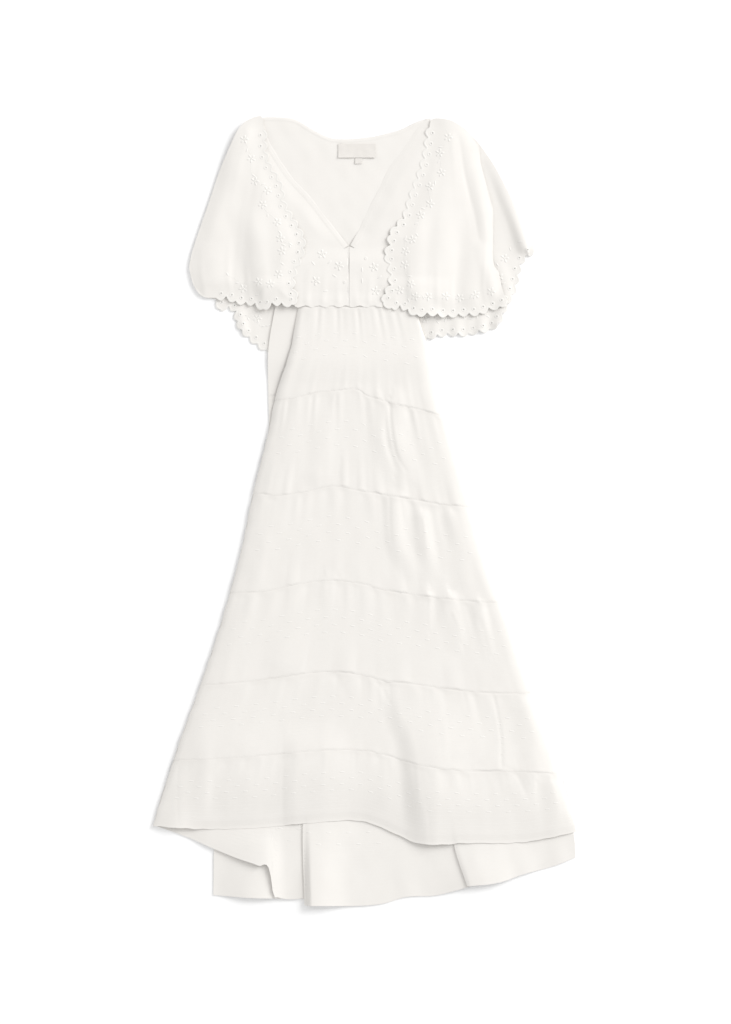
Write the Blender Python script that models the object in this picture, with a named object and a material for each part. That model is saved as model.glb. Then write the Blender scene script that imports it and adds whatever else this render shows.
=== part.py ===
"""Embroidered midi dress laid flat on its back, as cloth walls: one closed solid for each cut piece.

Metres, +Z up. The dress lies on z = 0 with its front up. +Y runs from the hem to the neck and +X to the
right as seen from above. Every table and size below is in millimetres, and MM turns it into metres.
"""
import math
from collections import namedtuple

import bpy
from mathutils import Vector
from mathutils.geometry import delaunay_2d_cdt

MM = 0.001

# Driving sizes
CLOTH = 1.5
LABEL_CLOTH = 0.8
SEAM_GAP = 0.3
LAYER_GAP = 0.6
PUFF = 2.4
EDGE_ROUND = 10.0
CAPE_ROUND = 18.0
LAP = 5.0
LAP_LIFT = 2.4
BINDING_WIDTH = 6.0
V_BINDING_WIDTH = 9.0
SCALLOP_PITCH = 17.0
SCALLOP_DEPTH = 5.5
SCALLOP_STATIONS = (0.0, 0.3, 0.7)
EYELET_DIAMETER = 5.2
EYELET_SIDES = 6
EYELET_INSET = 6.0
GATHER_WAVES = 12
GATHER_DEPTH = 1.6
GATHER_REACH = 0.55
COLUMNS_PER_WAVE = 6
SIDE_PUFF = 4.5
SIDE_REACH_LEFT = 42.0
SIDE_REACH_RIGHT = 22.0
WAIST_WAVES = 9
WAIST_WAVE_DEPTH = 1.5

# Steps of the meshes, and how far their inner points keep from an outline
CAPE_MESH = 24.0
BODICE_MESH = 30.0
PLAIN_STEP = 22.0
NECK_STEP = 16.0
V_STEP = 18.0
MESH_CLEAR_SHARE = 0.3
ROUNDING_CLEAR = 2.5
ROUNDING_ROW = 3.5
JOIN_DISTANCE = 1e-5
SHARP_ANGLE = 50.0

# An eyelet keeps this distance to the outline, and this share of its diameter to the next one
EYELET_MARGIN = 4.2
EYELET_SPACING = 1.6

# Heights of the layers above the floor, from the lowest up
CAPE_BACK_TOP = CLOTH
BODY_BACK_UNDER = CAPE_BACK_TOP + LAYER_GAP
BODY_FRONT_UNDER = BODY_BACK_UNDER + CLOTH + LAYER_GAP
BODICE_PUFF = PUFF
CAPE_FRONT_UNDER = BODY_FRONT_UNDER + BODICE_PUFF + CLOTH + LAYER_GAP

# The back of the skirt steps down to the floor between these heights, below the hem of the back capes
STEP_TOP = 248.0
STEP_FOOT = 200.0

# The skirt's front stands off its back from the first of these heights, and fully from the second
PUFF_START = 320.0
PUFF_FULL = 210.0

# The skirt's front rises between these heights, onto the folded lowest tier of the back
LOW_START = -330.0
LOW_FULL = -390.0

# The folds of the lowest back tier rise between these heights
LOW_RISE_START = -470.0
LOW_RISE_FULL = -590.0

# The bodice fronts stand off the back below the V, and lap over the skirt's waist
V_FOOT = 425.0
V_FOOT_EASE = 30.0
WAIST_LAP_START = 352.0
WAIST_LAP_EASE = 16.0

# The front capes ease down beside the torso, and rise over the lapped waist
TORSO_MARGIN = 12.0
TORSO_EASE = 50.0
CAPE_WAIST_START = 378.0
CAPE_WAIST_EASE = 20.0
CAPE_LOWEST_FOLD = -0.4
CAPE_DROP_START = 430.0
CAPE_DROP_EASE = 60.0
CAPE_EDGE_DROP = 0.75
CAPE_EDGE_START = 4.0
CAPE_EDGE_EASE = 26.0

# Outline of the skirt, from the waist to the hem: a row for each height y
Edge = namedtuple("Edge", "y front_left back_left right")
SKIRT_EDGES = (
    Edge(333, -106, -142, 79),
    Edge(258, -119, -154, 102),
    Edge(186, -142, -154, 119),
    Edge(126, -154, -154, 136),
    Edge(30, -178, -178, 164),
    Edge(-66, -198, -198, 191),
    Edge(-181, -230, -230, 233),
    Edge(-277, -262, -262, 263),
    Edge(-373, -297, -297, 297),
    Edge(-462, -326, -326, 326),
    Edge(-514, -342, -342, 339),
)

# Heights of the skirt's seams and hem, a row for each share s of its width from left to right
Seam = namedtuple("Seam", "s waist seam_1 seam_2 seam_3 seam_4 seam_5 hem")
SKIRT_SEAMS = (
    Seam(0.0, 328, 182, 34, -126, -274, -394, -504),
    Seam(0.125, 331, 186, 30, -124, -269, -391, -509),
    Seam(0.25, 333, 194, 36, -112, -260, -385, -507),
    Seam(0.375, 331, 197, 45, -106, -252, -378, -499),
    Seam(0.5, 330, 199, 37, -112, -258, -378, -497),
    Seam(0.56, 331, 189, 34, -120, -267, -386, -512),
    Seam(0.625, 333, 184, 30, -125, -270, -398, -531),
    Seam(0.75, 334, 174, 23, -133, -279, -410, -531),
    Seam(0.875, 334, 166, 15, -139, -286, -411, -530),
    Seam(1.0, 333, 155, 11, -142, -286, -416, -514),
)
SEAM_NAMES = ("waist", "seam_1", "seam_2", "seam_3", "seam_4", "seam_5", "hem")
BACK_SEAM_HEIGHTS = (331, 186, 32, -124, -270, -397)
TIER_ROWS = (0.0, 0.14, 0.36, 0.66, 1.0)
HEM_TIER_ROWS = (0.0, 0.14, 0.36, 0.58, 0.8, 1.0)
EDGE_STATIONS = (0.008, 0.024)

# Outline of the torso under the capes
Torso = namedtuple("Torso", "y left right")
TORSO_EDGES = (
    Torso(640, -190, 124),
    Torso(554, -183, 116),
    Torso(474, -164, 105),
    Torso(402, -146, 92),
    Torso(333, -130, 84),
    Torso(258, -154, 104),
    Torso(200, -154, 118),
)

# Soft folds: a path down the cloth, the fold's reach to either side of it, and its height along the path.
# A fold with no middle height runs evenly from its start to its end.
Fold = namedtuple("Fold", "path left right start end middle", defaults=(None,))
FRONT_FOLDS = (
    Fold(((-105, 322), (-117, 258), (-139, 186), (-152, 120)), 10, 24, 0.0, 0.0, 2.6),
    Fold(((46, 176), (50, 114), (74, 56)), 20, 28, 2.0, 0.6, 2.7),
    Fold(((28, 172), (28, 114), (44, 62)), 26, 10, 1.0, 0.6, 1.8),
    Fold(((-60, 150), (-72, 60)), 30, 30, 0.6, 1.2),
    Fold(((50, 18), (54, -54), (74, -92)), 24, 22, 2.2, 0.8, 2.8),
    Fold(((92, -10), (100, -60), (108, -100)), 22, 18, 2.4, 0.8, 2.6),
    Fold(((142, -10), (156, -60), (160, -110)), 24, 20, 1.6, 0.4),
    Fold(((103, -137), (103, -186)), 28, 4, 2.4, 0.4),
    Fold(((138, -140), (152, -206)), 30, 16, 2.2, 0.8),
    Fold(((186, -150), (200, -226)), 22, 12, 1.8, 0.6),
    Fold(((-110, -130), (-130, -240)), 40, 40, 0.5, 1.4),
    Fold(((-62, -112), (-58, -170)), 16, 26, 1.0, 0.2),
    Fold(((218, -300), (220, -404)), 30, 30, 0.0, 1.0),
    Fold(((262, -320), (272, -420)), 36, 24, 1.2, 2.0),
    Fold(((232, -420), (266, -470), (276, -520)), 30, 26, 0.6, 1.2),
    Fold(((300, -440), (308, -512)), 26, 16, 1.0, 1.6),
    Fold(((-252, -360), (-256, -430), (-258, -520)), 30, 18, 0.0, 2.0),
    Fold(((-186, -350), (-188, -430), (-196, -520)), 52, 50, 0.6, 2.6),
    Fold(((-26, -262), (2, -302), (16, -366), (20, -446), (20, -538)), 70, 40, 0.0, 1.6),
    Fold(((36, -262), (62, -326), (82, -374), (90, -446), (97, -538)), 34, 130, 0.0, 9.5, 6.2),
    Fold(((-14, -450), (-6, -530)), 44, 40, 0.6, 3.0),
    Fold(((-120, -420), (-130, -520)), 40, 40, 0.4, 1.2),
)

# How far the hem of the skirt's front is pressed onto the back, from 0 where it stands clear
Hem = namedtuple("Hem", "s press")
HEM_PRESS = (
    Hem(0.0, 0.2),
    Hem(0.07, 0.1),
    Hem(0.13, 0.7),
    Hem(0.3, 0.9),
    Hem(0.4, 0.8),
    Hem(0.46, 0.72),
    Hem(0.53, 0.6),
    Hem(0.6, 0.48),
    Hem(0.66, 0.46),
    Hem(0.71, 0.6),
    Hem(0.85, 0.7),
    Hem(0.92, 0.5),
    Hem(1.0, 0.5),
)

CAPE_LEFT_FOLDS = (
    Fold(((-196, 604), (-226, 500), (-240, 420), (-236, 340)), 34, 34, 0.8, 2.4),
    Fold(((-184, 560), (-196, 440), (-204, 338)), 22, 22, -0.4, -1.0),
    Fold(((-176, 480), (-172, 390), (-164, 318)), 24, 24, 0.4, 2.0),
    Fold(((-150, 470), (-146, 390), (-143, 330)), 16, 16, -0.2, -0.8),
    Fold(((-124, 430), (-122, 380), (-116, 326)), 20, 20, 0.2, 1.4),
)
CAPE_RIGHT_FOLDS = (
    Fold(((151, 597), (175, 483), (186, 434)), 16, 14, -0.4, -1.0),
    Fold(((176, 560), (194, 480), (196, 410), (214, 345)), 24, 30, 0.8, 2.4),
    Fold(((60, 430), (62, 380), (62, 330)), 16, 16, -0.2, -0.8),
    Fold(((84, 480), (82, 390), (80, 310)), 22, 22, 0.4, 2.0),
    Fold(((108, 470), (104, 390), (104, 314)), 16, 16, -0.2, -0.8),
    Fold(((136, 500), (130, 400), (128, 308)), 24, 24, 0.4, 1.9),
    Fold(((160, 430), (150, 370), (150, 312)), 16, 16, -0.2, -0.9),
    Fold(((176, 420), (172, 370), (174, 312)), 22, 20, 0.3, 1.8),
)
CAPE_BACK_FOLDS = (
    Fold(((204, 560), (236, 480), (256, 424)), 16, 24, 1.0, 4.0),
    Fold(((214, 400), (228, 350), (214, 300)), 16, 16, 0.8, 3.0),
    Fold(((190, 330), (186, 284)), 14, 14, 0.0, 2.4),
    Fold(((150, 330), (148, 280)), 14, 14, 0.0, 2.0),
    Fold(((116, 320), (112, 276)), 12, 12, 0.0, 1.6),
    Fold(((-208, 350), (-194, 290)), 14, 14, 0.0, 2.0),
)

# Stretches of the lowest back tier, which folds over itself three times. Each row of an outline's side
# runs down from the seam, and each hem runs from left to right.
Stretch = namedtuple("Stretch", "name left right hem columns")
BACK_HEM_STRETCHES = (
    Stretch(
        "skirt_back_tier_6_under",
        ((-238, -394), (-241, -520), (-242, -616)),
        ((-52, -380), (-46, -500), (-40, -622)),
        ((0.0, -615), (0.3, -619), (1.0, -622)),
        14,
    ),
    Stretch(
        "skirt_back_tier_6_left",
        ((-303, -394), (-324, -450), (-338, -500)),
        ((-86, -394), (-84, -500), (-82, -619)),
        (
            (0.0, -503), (0.21, -522), (0.38, -541), (0.52, -555), (0.66, -567), (0.73, -576), (0.735, -584),
            (0.75, -612), (0.78, -618), (1.0, -619),
        ),
        22,
    ),
    Stretch(
        "skirt_back_tier_6_middle",
        ((-92, -380), (-99, -500), (-96, -631.3)),
        ((176, -412), (188, -500), (200, -589)),
        ((0.0, -631.3), (0.42, -629), (0.55, -618), (0.7, -616), (0.8, -609), (0.9, -600), (1.0, -590)),
        22,
    ),
    Stretch(
        "skirt_back_tier_6_right",
        ((126, -412), (141, -530), (164, -600)),
        ((305, -416), (333, -512), (338, -555)),
        ((0.0, -600), (0.3, -594), (0.53, -581), (0.77, -570), (1.0, -555)),
        18,
    ),
)
STRETCH_ROWS = (0.0, 0.3, 0.6, 0.8, 1.0)
COLUMN_APART = 0.012
UNDER_FOLDS = (Fold(((-172, -500), (-176, -630)), 66, 60, 0.0, 8.0),)
LEFT_FLAP_FOLDS = (Fold(((-172, -430), (-160, -540), (-157, -630)), 104, 32, 0.5, 1.6, 7.0),)
MIDDLE_FOLDS = (
    Fold(((-91, -400), (-88, -520), (-86, -640)), 8, 66, 0.5, 7.5),
    Fold(((10, -480), (0, -640)), 44, 44, 0.0, 1.2),
    Fold(((64, -480), (70, -640)), 26, 26, 0.0, 1.0),
    Fold(((160, -420), (176, -520), (190, -610)), 96, 110, 0.8, 6.0),
)
RIGHT_FOLDS = (
    Fold(((134, -412), (150, -530), (173, -610)), 9, 80, 0.5, 2.4),
    Fold(((248, -470), (262, -600)), 30, 30, 0.0, 1.6),
    Fold(((302, -480), (316, -570)), 24, 22, 0.0, 1.4),
)

# Where each stretch lies across the skirt, easing down beside it, and where it climbs onto or leaves the
# stretches that it covers
Span = namedtuple("Span", "name low high")
LOW_SPANS = (
    Span("skirt_back_tier_6_under", -262.0, -30.0),
    Span("skirt_back_tier_6_left", -360.0, -72.0),
    Span("skirt_back_tier_6_middle", -108.0, 206.0),
    Span("skirt_back_tier_6_right", 120.0, 360.0),
)
SPAN_EASE = 45.0
LEFT_CLIMB_X = -285.0
LEFT_CLIMB_EASE = 36.0
MIDDLE_EDGE_X = -82.0
MIDDLE_LEAVES_X = -70.0
MIDDLE_LEAVES_EASE = 70.0
RIGHT_LEAVES_X = 206.0
RIGHT_LEAVES_EASE = 80.0

# Outlines of the capes: the scalloped edge runs from the shoulder down and round the hem, and the plain
# edge runs back up to the shoulder
CAPE_FRONT_LEFT_SCALLOPED = (
    (-161, 610), (-158, 563), (-134, 520), (-131, 493), (-108, 453), (-98, 432), (-102, 408),
    (-111, 390), (-116, 357), (-107, 334), (-126, 330), (-143, 336), (-164, 323), (-180, 337),
    (-198, 333), (-222, 344), (-238, 341),
)
CAPE_LEFT_PLAIN = (
    (-238, 341), (-258, 343), (-272, 358), (-279, 380), (-280, 395), (-273, 424), (-250, 491),
    (-230, 549), (-209, 597), (-198, 616), (-183, 627), (-164, 631), (-161, 610),
)
CAPE_FRONT_RIGHT_SCALLOPED = (
    (104, 614), (98, 574), (92, 550), (71, 492), (65, 470), (42, 443), (41, 424), (34, 408),
    (41, 392), (42, 357), (27, 338), (50, 322), (60, 331), (79, 315), (106, 318), (129, 314),
    (162, 317), (183, 317), (196, 325), (218, 328), (229, 337),
)
CAPE_FRONT_RIGHT_PLAIN = (
    (229, 337), (221, 354), (215, 382), (206, 402), (206, 482), (196, 520), (186, 558), (183, 585),
    (169, 603), (154, 616), (134, 626), (108, 627), (104, 614),
)
CAPE_BACK_LEFT_SCALLOPED = (
    (-236, 339), (-233, 325), (-225, 321), (-214, 330), (-204, 317), (-202, 294), (-190, 288),
    (-180, 274), (-164, 264), (-148, 254), (-119, 250), (-90, 254),
)
CAPE_BACK_LEFT_PLAIN = (
    (-90, 254), (-94, 338), (-110, 434), (-132, 530), (-154, 616), (-164, 630), (-183, 627),
    (-198, 616), (-209, 597), (-230, 549), (-250, 491), (-273, 424), (-280, 395), (-279, 380),
    (-272, 358), (-258, 343), (-236, 339),
)
CAPE_BACK_RIGHT_SCALLOPED = (
    (33, 269), (65, 270), (100, 278), (122, 284), (145, 285), (170, 285), (183, 290), (207, 294),
    (218, 309), (222, 325), (233, 341), (242, 365), (247, 392), (258, 410), (272, 417),
)
CAPE_BACK_RIGHT_PLAIN = (
    (272, 417), (266, 441), (249, 472), (236, 499), (210, 550), (185, 587), (169, 603), (146, 621),
    (130, 627), (105, 616), (86, 530), (63, 434), (50, 338), (33, 269),
)

BACK_CAPE_INSET = 0.5

# Eyelets of the back capes are cut only where they show beside the skirt
BACK_EYELETS_LEFT_X = -156.0
BACK_EYELETS_LEFT_Y = 262.0
BACK_EYELETS_RIGHT_X = 96.0

# Outlines of the bodice
BACK_NECK = (
    (-163, 630), (-135, 630), (-110, 626), (-84, 611), (-58, 598), (-33, 595), (6, 598), (31, 603),
    (57, 610), (82, 622), (104, 629),
)
BODICE_BACK_LEFT_SIDE = ((-142, 335), (-151, 402), (-164, 474), (-183, 554), (-188, 612), (-180, 625))
BODICE_BACK_RIGHT_SIDE = ((122, 626), (116, 554), (105, 474), (89, 402), (79, 335))
V_LEFT = ((-163, 628), (-158, 608), (-150, 587), (-119, 539), (-86, 502), (-55, 462), (-26, 425))
V_RIGHT = ((99, 628), (82, 610), (60, 578), (39, 550), (22, 514), (7, 486), (-8, 453), (-23, 425))
CENTRE_X = -24.5
V_MEETING_Y = 423.6
WAIST_LEFT_X = -112.0
WAIST_RIGHT_X = 79.0
WAIST_SEAM_Y = 327.0
WAIST_WAVE_START = -116.0
WAIST_WIDTH = 195.0
BODICE_FRONT_LEFT_SIDE = ((-116, 328), (-129, 402), (-148, 474), (-170, 554), (-181, 618))
BODICE_FRONT_RIGHT_SIDE = ((121, 624), (108, 554), (95, 474), (84, 402), (79, 331))

# Neck label and size tab, both blank
LABEL_SIZE = (60.0, 22.0)
LABEL_CENTRE = (-12.0, 576.5)
TAB_SIZE = (11.0, 9.0)
TAB_CENTRE = (-9.5, 560.4)

# Colours, linear, and the finish of the cloth
COTTON = (0.84, 0.81, 0.77, 1.0)
LABEL_COLOUR = (0.86, 0.84, 0.80, 1.0)
CLOTH_ROUGHNESS = 0.9


def smooth_step(t):
    """0 below t = 0, 1 above t = 1, and an even S between."""
    t = min(max(t, 0.0), 1.0)
    return t * t * (3.0 - 2.0 * t)


def table_value(rows, key, column, value):
    """The smooth value of a table's column where its key column has this value."""
    keys = [getattr(row, key) for row in rows]
    values = [getattr(row, column) for row in rows]
    if keys[0] > keys[-1]:
        keys.reverse()
        values.reverse()
    value = min(max(value, keys[0]), keys[-1])
    i = max(j for j in range(len(keys) - 1) if keys[j] <= value)
    slopes = [(values[j + 1] - values[j]) / (keys[j + 1] - keys[j]) for j in range(len(keys) - 1)]
    before = slopes[max(i - 1, 0)]
    after = slopes[min(i + 1, len(slopes) - 1)]
    start = 0.5 * (before + slopes[i])
    end = 0.5 * (slopes[i] + after)
    span = keys[i + 1] - keys[i]
    t = (value - keys[i]) / span
    return (
        values[i] * (1 - t) ** 2 * (1 + 2 * t)
        + values[i + 1] * t * t * (3 - 2 * t)
        + span * t * (1 - t) * (start * (1 - t) - end * t)
    )


def smooth_path(points, step):
    """Points a step apart along a Catmull-Rom curve through the given points."""
    knots = [Vector(p) for p in points]
    knots = [2 * knots[0] - knots[1]] + knots + [2 * knots[-1] - knots[-2]]
    dense = []
    pieces = 12
    for a, b, c, d in zip(knots, knots[1:], knots[2:], knots[3:]):
        for k in range(pieces):
            t = k / pieces
            dense.append(
                0.5 * (2 * b + (c - a) * t + (2 * a - 5 * b + 4 * c - d) * t * t
                       + (3 * b - a - 3 * c + d) * t ** 3)
            )
    dense.append(knots[-2])
    lengths = [0.0]
    for a, b in zip(dense, dense[1:]):
        lengths.append(lengths[-1] + (b - a).length)
    count = max(2, round(lengths[-1] / step))
    path = []
    j = 0
    for k in range(count + 1):
        target = lengths[-1] * k / count
        while j < len(dense) - 2 and lengths[j + 1] < target:
            j += 1
        share = (target - lengths[j]) / max(lengths[j + 1] - lengths[j], 1e-9)
        path.append(dense[j].lerp(dense[j + 1], min(share, 1.0)))
    return path


def normals(path):
    """For each point of a path, the unit vector to the left of its direction."""
    result = []
    for i in range(len(path)):
        ahead = path[min(i + 1, len(path) - 1)] - path[max(i - 1, 0)]
        ahead.normalize()
        result.append(Vector((-ahead.y, ahead.x)))
    return result


def offset_path(path, distance):
    """The path moved to its left."""
    return [p + n * distance for p, n in zip(path, normals(path))]


def near_path(path, x, y):
    """The signed distance from a path, positive on its left, and the share of its length passed."""
    best = None
    total = sum(math.dist(a, b) for a, b in zip(path, path[1:]))
    passed = 0.0
    for (ax, ay), (bx, by) in zip(path, path[1:]):
        length = math.dist((ax, ay), (bx, by))
        t = ((x - ax) * (bx - ax) + (y - ay) * (by - ay)) / (length * length)
        t = min(max(t, 0.0), 1.0)
        away = math.hypot(x - ax - t * (bx - ax), y - ay - t * (by - ay))
        side = (bx - ax) * (y - ay) - (by - ay) * (x - ax)
        if best is None or away < abs(best[0]):
            best = (math.copysign(away, side), (passed + t * length) / total)
        passed += length
    return best


def fold_height(folds, x, y):
    """The sum of the folds' heights at a point. A path runs down the cloth, so its left is +X."""
    height = 0.0
    for fold in folds:
        away, share = near_path(fold.path, x, y)
        reach = fold.right if away > 0 else fold.left
        if abs(away) < reach:
            middle = 0.5 * (fold.start + fold.end) if fold.middle is None else fold.middle
            ends = (fold.start, middle) if share < 0.5 else (fold.end, middle)
            crest = ends[0] + (ends[1] - ends[0]) * (1.0 - abs(2.0 * share - 1.0))
            height += crest * (0.5 + 0.5 * math.cos(math.pi * away / reach))
    return height


def rounded_edge(distance, reach=EDGE_ROUND):
    """A share from 0 at a cloth's edge to 1 past its rounding, along a quarter circle."""
    t = min(max(distance / reach, 0.0), 1.0)
    return math.sqrt(1.0 - (1.0 - t) ** 2)


def body_back_under(y):
    """Underside of the bodice back and of the skirt's back: on the back capes, then on the floor."""
    return BODY_BACK_UNDER * smooth_step((y - STEP_FOOT) / (STEP_TOP - STEP_FOOT))


def cape_back_top(x, y):
    """Upper side of the back capes."""
    return CAPE_BACK_TOP + max(0.0, fold_height(CAPE_BACK_FOLDS, x, y))


def low_back_under(name, x, y):
    """Underside of a stretch of the lowest back tier: on the floor, or on the stretches it covers."""
    on_top = CLOTH + LAYER_GAP
    rise = smooth_step((LOW_RISE_START - y) / (LOW_RISE_START - LOW_RISE_FULL))
    under = rise * max(0.0, fold_height(UNDER_FOLDS, x, y))
    if name == "skirt_back_tier_6_under":
        return under
    if name == "skirt_back_tier_6_left":
        climbed = smooth_step((x - LEFT_CLIMB_X) / LEFT_CLIMB_EASE)
        return climbed * (on_top + under) + rise * fold_height(LEFT_FLAP_FOLDS, x, y)
    carried = 1.0 - smooth_step((x - MIDDLE_LEAVES_X) / MIDDLE_LEAVES_EASE)
    covered = 2.0 * on_top + rise * fold_height(LEFT_FLAP_FOLDS, MIDDLE_EDGE_X, y)
    middle = carried * covered + rise * fold_height(MIDDLE_FOLDS, x, y)
    if name == "skirt_back_tier_6_middle":
        return middle
    carried = 1.0 - smooth_step((x - RIGHT_LEAVES_X) / RIGHT_LEAVES_EASE)
    return carried * (on_top + middle) + rise * fold_height(RIGHT_FOLDS, x, y)


def low_back_top(x, y):
    """Upper side of the lowest back tier, easing down beside each stretch, for the front to rest on."""
    highest = 0.0
    for span in LOW_SPANS:
        beside = max(span.low - x, x - span.high)
        height = low_back_under(span.name, min(max(x, span.low), span.high), y)
        highest = max(highest, height * (1.0 - smooth_step(beside / SPAN_EASE)))
    return CLOTH + highest


def side_puff(y, from_left, from_right):
    """How far the skirt's front stands off its back, rising from its side edges."""
    grown = smooth_step((PUFF_START - y) / (PUFF_START - PUFF_FULL))
    left = min(from_left / SIDE_REACH_LEFT, 1.0)
    right = min(from_right / SIDE_REACH_RIGHT, 1.0)
    return SIDE_PUFF * grown * (1.0 - (1.0 - left) ** 2) * (1.0 - (1.0 - right) ** 2)


def skirt_front_under(x, y, from_left, from_right, gather, press):
    """Underside of the skirt's front, a gather's depth down and pressed onto the back by a share."""
    base = body_back_under(y) + CLOTH + LAYER_GAP
    share = smooth_step((LOW_START - y) / (LOW_START - LOW_FULL))
    base += share * (low_back_top(x, y) - CLOTH)
    relief = PUFF * rounded_edge(min(from_left, from_right)) + side_puff(y, from_left, from_right)
    relief += fold_height(FRONT_FOLDS, x, y) - gather
    return base + max(0.0, relief) * (1.0 - press)


def torso_share(x, y):
    """1 over the torso, easing to 0 beside it."""
    outside = max(
        table_value(TORSO_EDGES, "y", "left", y) - x,
        x - table_value(TORSO_EDGES, "y", "right", y),
    )
    return 1.0 - smooth_step((outside - TORSO_MARGIN) / TORSO_EASE)


def cape_front_under(folds, plain_edge, scalloped_edge):
    """The underside of a front cape, as a function of the place. Its folds sink along the scallops."""

    def under(x, y):
        beside = cape_back_top(x, y) + LAYER_GAP
        over = CAPE_FRONT_UNDER + LAP_LIFT * smooth_step((CAPE_WAIST_START - y) / CAPE_WAIST_EASE)
        over -= BODICE_PUFF * smooth_step((y - CAPE_DROP_START) / CAPE_DROP_EASE)
        share = torso_share(x, y)
        inward = abs(near_path(plain_edge, x, y)[0])
        from_scallops = abs(near_path(scalloped_edge, x, y)[0])
        sunk = CAPE_EDGE_DROP * (1.0 - smooth_step((from_scallops - CAPE_EDGE_START) / CAPE_EDGE_EASE))
        lift = (1.0 - share) * PUFF + max(CAPE_LOWEST_FOLD, fold_height(folds, x, y))
        return share * over + (1.0 - share) * beside + lift * (1.0 - sunk) * rounded_edge(inward, CAPE_ROUND)

    return under


def make_material(name, colour):
    """A plain matt cloth."""
    material = bpy.data.materials.new(name)
    material.use_nodes = True
    shader = material.node_tree.nodes["Principled BSDF"]
    shader.inputs["Base Color"].default_value = colour
    shader.inputs["Roughness"].default_value = CLOTH_ROUGHNESS
    shader.inputs["Metallic"].default_value = 0.0
    return material


def add_wall(name, plan, triangles, under, cloth, colour):
    """A closed wall: the plan's triangles at the underside and again one cloth higher, and its rim."""
    used = sorted({i for triangle in triangles for i in triangle})
    number = {old: new for new, old in enumerate(used)}
    places = [plan[i] for i in used]
    heights = [under[i] for i in used]
    count = len(used)
    vertices = [(x * MM, y * MM, z * MM) for (x, y), z in zip(places, heights)]
    vertices += [(x * MM, y * MM, (z + cloth) * MM) for (x, y), z in zip(places, heights)]
    faces = []
    rim = {}
    for triangle in triangles:
        a, b, c = (number[i] for i in triangle)
        (ax, ay), (bx, by), (cx, cy) = places[a], places[b], places[c]
        if (bx - ax) * (cy - ay) - (by - ay) * (cx - ax) < 0:
            b, c = c, b
        faces.append((c, b, a))
        faces.append((a + count, b + count, c + count))
        for edge in ((a, b), (b, c), (c, a)):
            if edge[::-1] in rim:
                del rim[edge[::-1]]
            else:
                rim[edge] = True
    for a, b in rim:
        faces.append((a, b, b + count))
        faces.append((a, b + count, a + count))
    mesh = bpy.data.meshes.new(name)
    mesh.from_pydata(vertices, [], faces)
    mesh.materials.append(make_material(name, colour))
    mesh.shade_smooth()
    mesh.set_sharp_from_angle(angle=math.radians(SHARP_ANGLE))
    piece = bpy.data.objects.new(name, mesh)
    bpy.context.scene.collection.objects.link(piece)
    return piece


def add_grid_wall(name, rows, colour=COTTON):
    """A wall from rows of (x, y, underside)."""
    width = len(rows[0])
    plan = [(x, y) for row in rows for x, y, _ in row]
    under = [z for row in rows for _, _, z in row]
    triangles = []
    for i in range(len(rows) - 1):
        for j in range(width - 1):
            a = i * width + j
            triangles.append((a, a + 1, a + width))
            triangles.append((a + 1, a + width + 1, a + width))
    return add_wall(name, plan, triangles, under, CLOTH, colour)


def inside(loop, x, y):
    """Whether a point lies inside a closed loop."""
    result = False
    for (ax, ay), (bx, by) in zip(loop, loop[1:] + loop[:1]):
        if (ay > y) != (by > y) and x < (bx - ax) * (y - ay) / (by - ay) + ax:
            result = not result
    return result


def clear_of(loops, x, y, margin):
    """Whether a point keeps a margin to every loop."""
    return all(abs(near_path(loop + loop[:1], x, y)[0]) > margin for loop in loops)


def add_outline_wall(name, outline, under, mesh_size, holes=(), extra=(), colour=COTTON, cloth=CLOTH):
    """A wall with this outline and these holes, its inner points on a grid of the mesh size."""
    outline = [tuple(p) for p in outline]
    holes = [[tuple(p) for p in hole] for hole in holes]
    loops = [outline] + holes
    clear = MESH_CLEAR_SHARE * mesh_size
    xs = [x for x, _ in outline]
    ys = [y for _, y in outline]
    inner = [tuple(p) for p in extra if inside(outline, *p) and clear_of(loops, *p, ROUNDING_CLEAR)]
    kept = len(inner)
    columns = int((max(xs) - min(xs)) / mesh_size) + 1
    lines = int((max(ys) - min(ys)) / mesh_size) + 1
    for i in range(lines):
        for j in range(columns):
            x = min(xs) + (j + 0.5 + 0.5 * (i % 2)) * mesh_size
            y = min(ys) + (i + 0.5) * mesh_size
            far = all(math.dist((x, y), p) > clear for p in inner[:kept])
            if far and inside(outline, x, y) and clear_of(loops, x, y, clear):
                inner.append((x, y))
    points = []
    edges = []
    for loop in loops:
        first = len(points)
        points += loop
        edges += [(first + i, first + (i + 1) % len(loop)) for i in range(len(loop))]
    points += inner
    found = delaunay_2d_cdt([Vector(p) for p in points], edges, [], 0, JOIN_DISTANCE)
    plan = [(v.x, v.y) for v in found[0]]
    triangles = []
    for face in found[2]:
        x = sum(plan[i][0] for i in face) / 3
        y = sum(plan[i][1] for i in face) / 3
        if inside(outline, x, y) and not any(inside(hole, x, y) for hole in holes):
            triangles.append(tuple(face))
    heights = [under(x, y) for x, y in plan]
    return add_wall(name, plan, triangles, heights, cloth, colour)


def column_shares():
    """Shares across the skirt's width: even ones that suit the gathers, with more at the rounded edges."""
    count = GATHER_WAVES * COLUMNS_PER_WAVE
    shares = {i / count for i in range(count + 1)}
    shares.update(EDGE_STATIONS)
    shares.update(1.0 - s for s in EDGE_STATIONS)
    return sorted(shares)


def skirt_place(s, y, left_column):
    """The place at a share of the skirt's width, and its distances from the left and right edges."""
    left = table_value(SKIRT_EDGES, "y", left_column, y)
    right = table_value(SKIRT_EDGES, "y", "right", y)
    return left + s * (right - left), s * (right - left), (1.0 - s) * (right - left)


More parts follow.
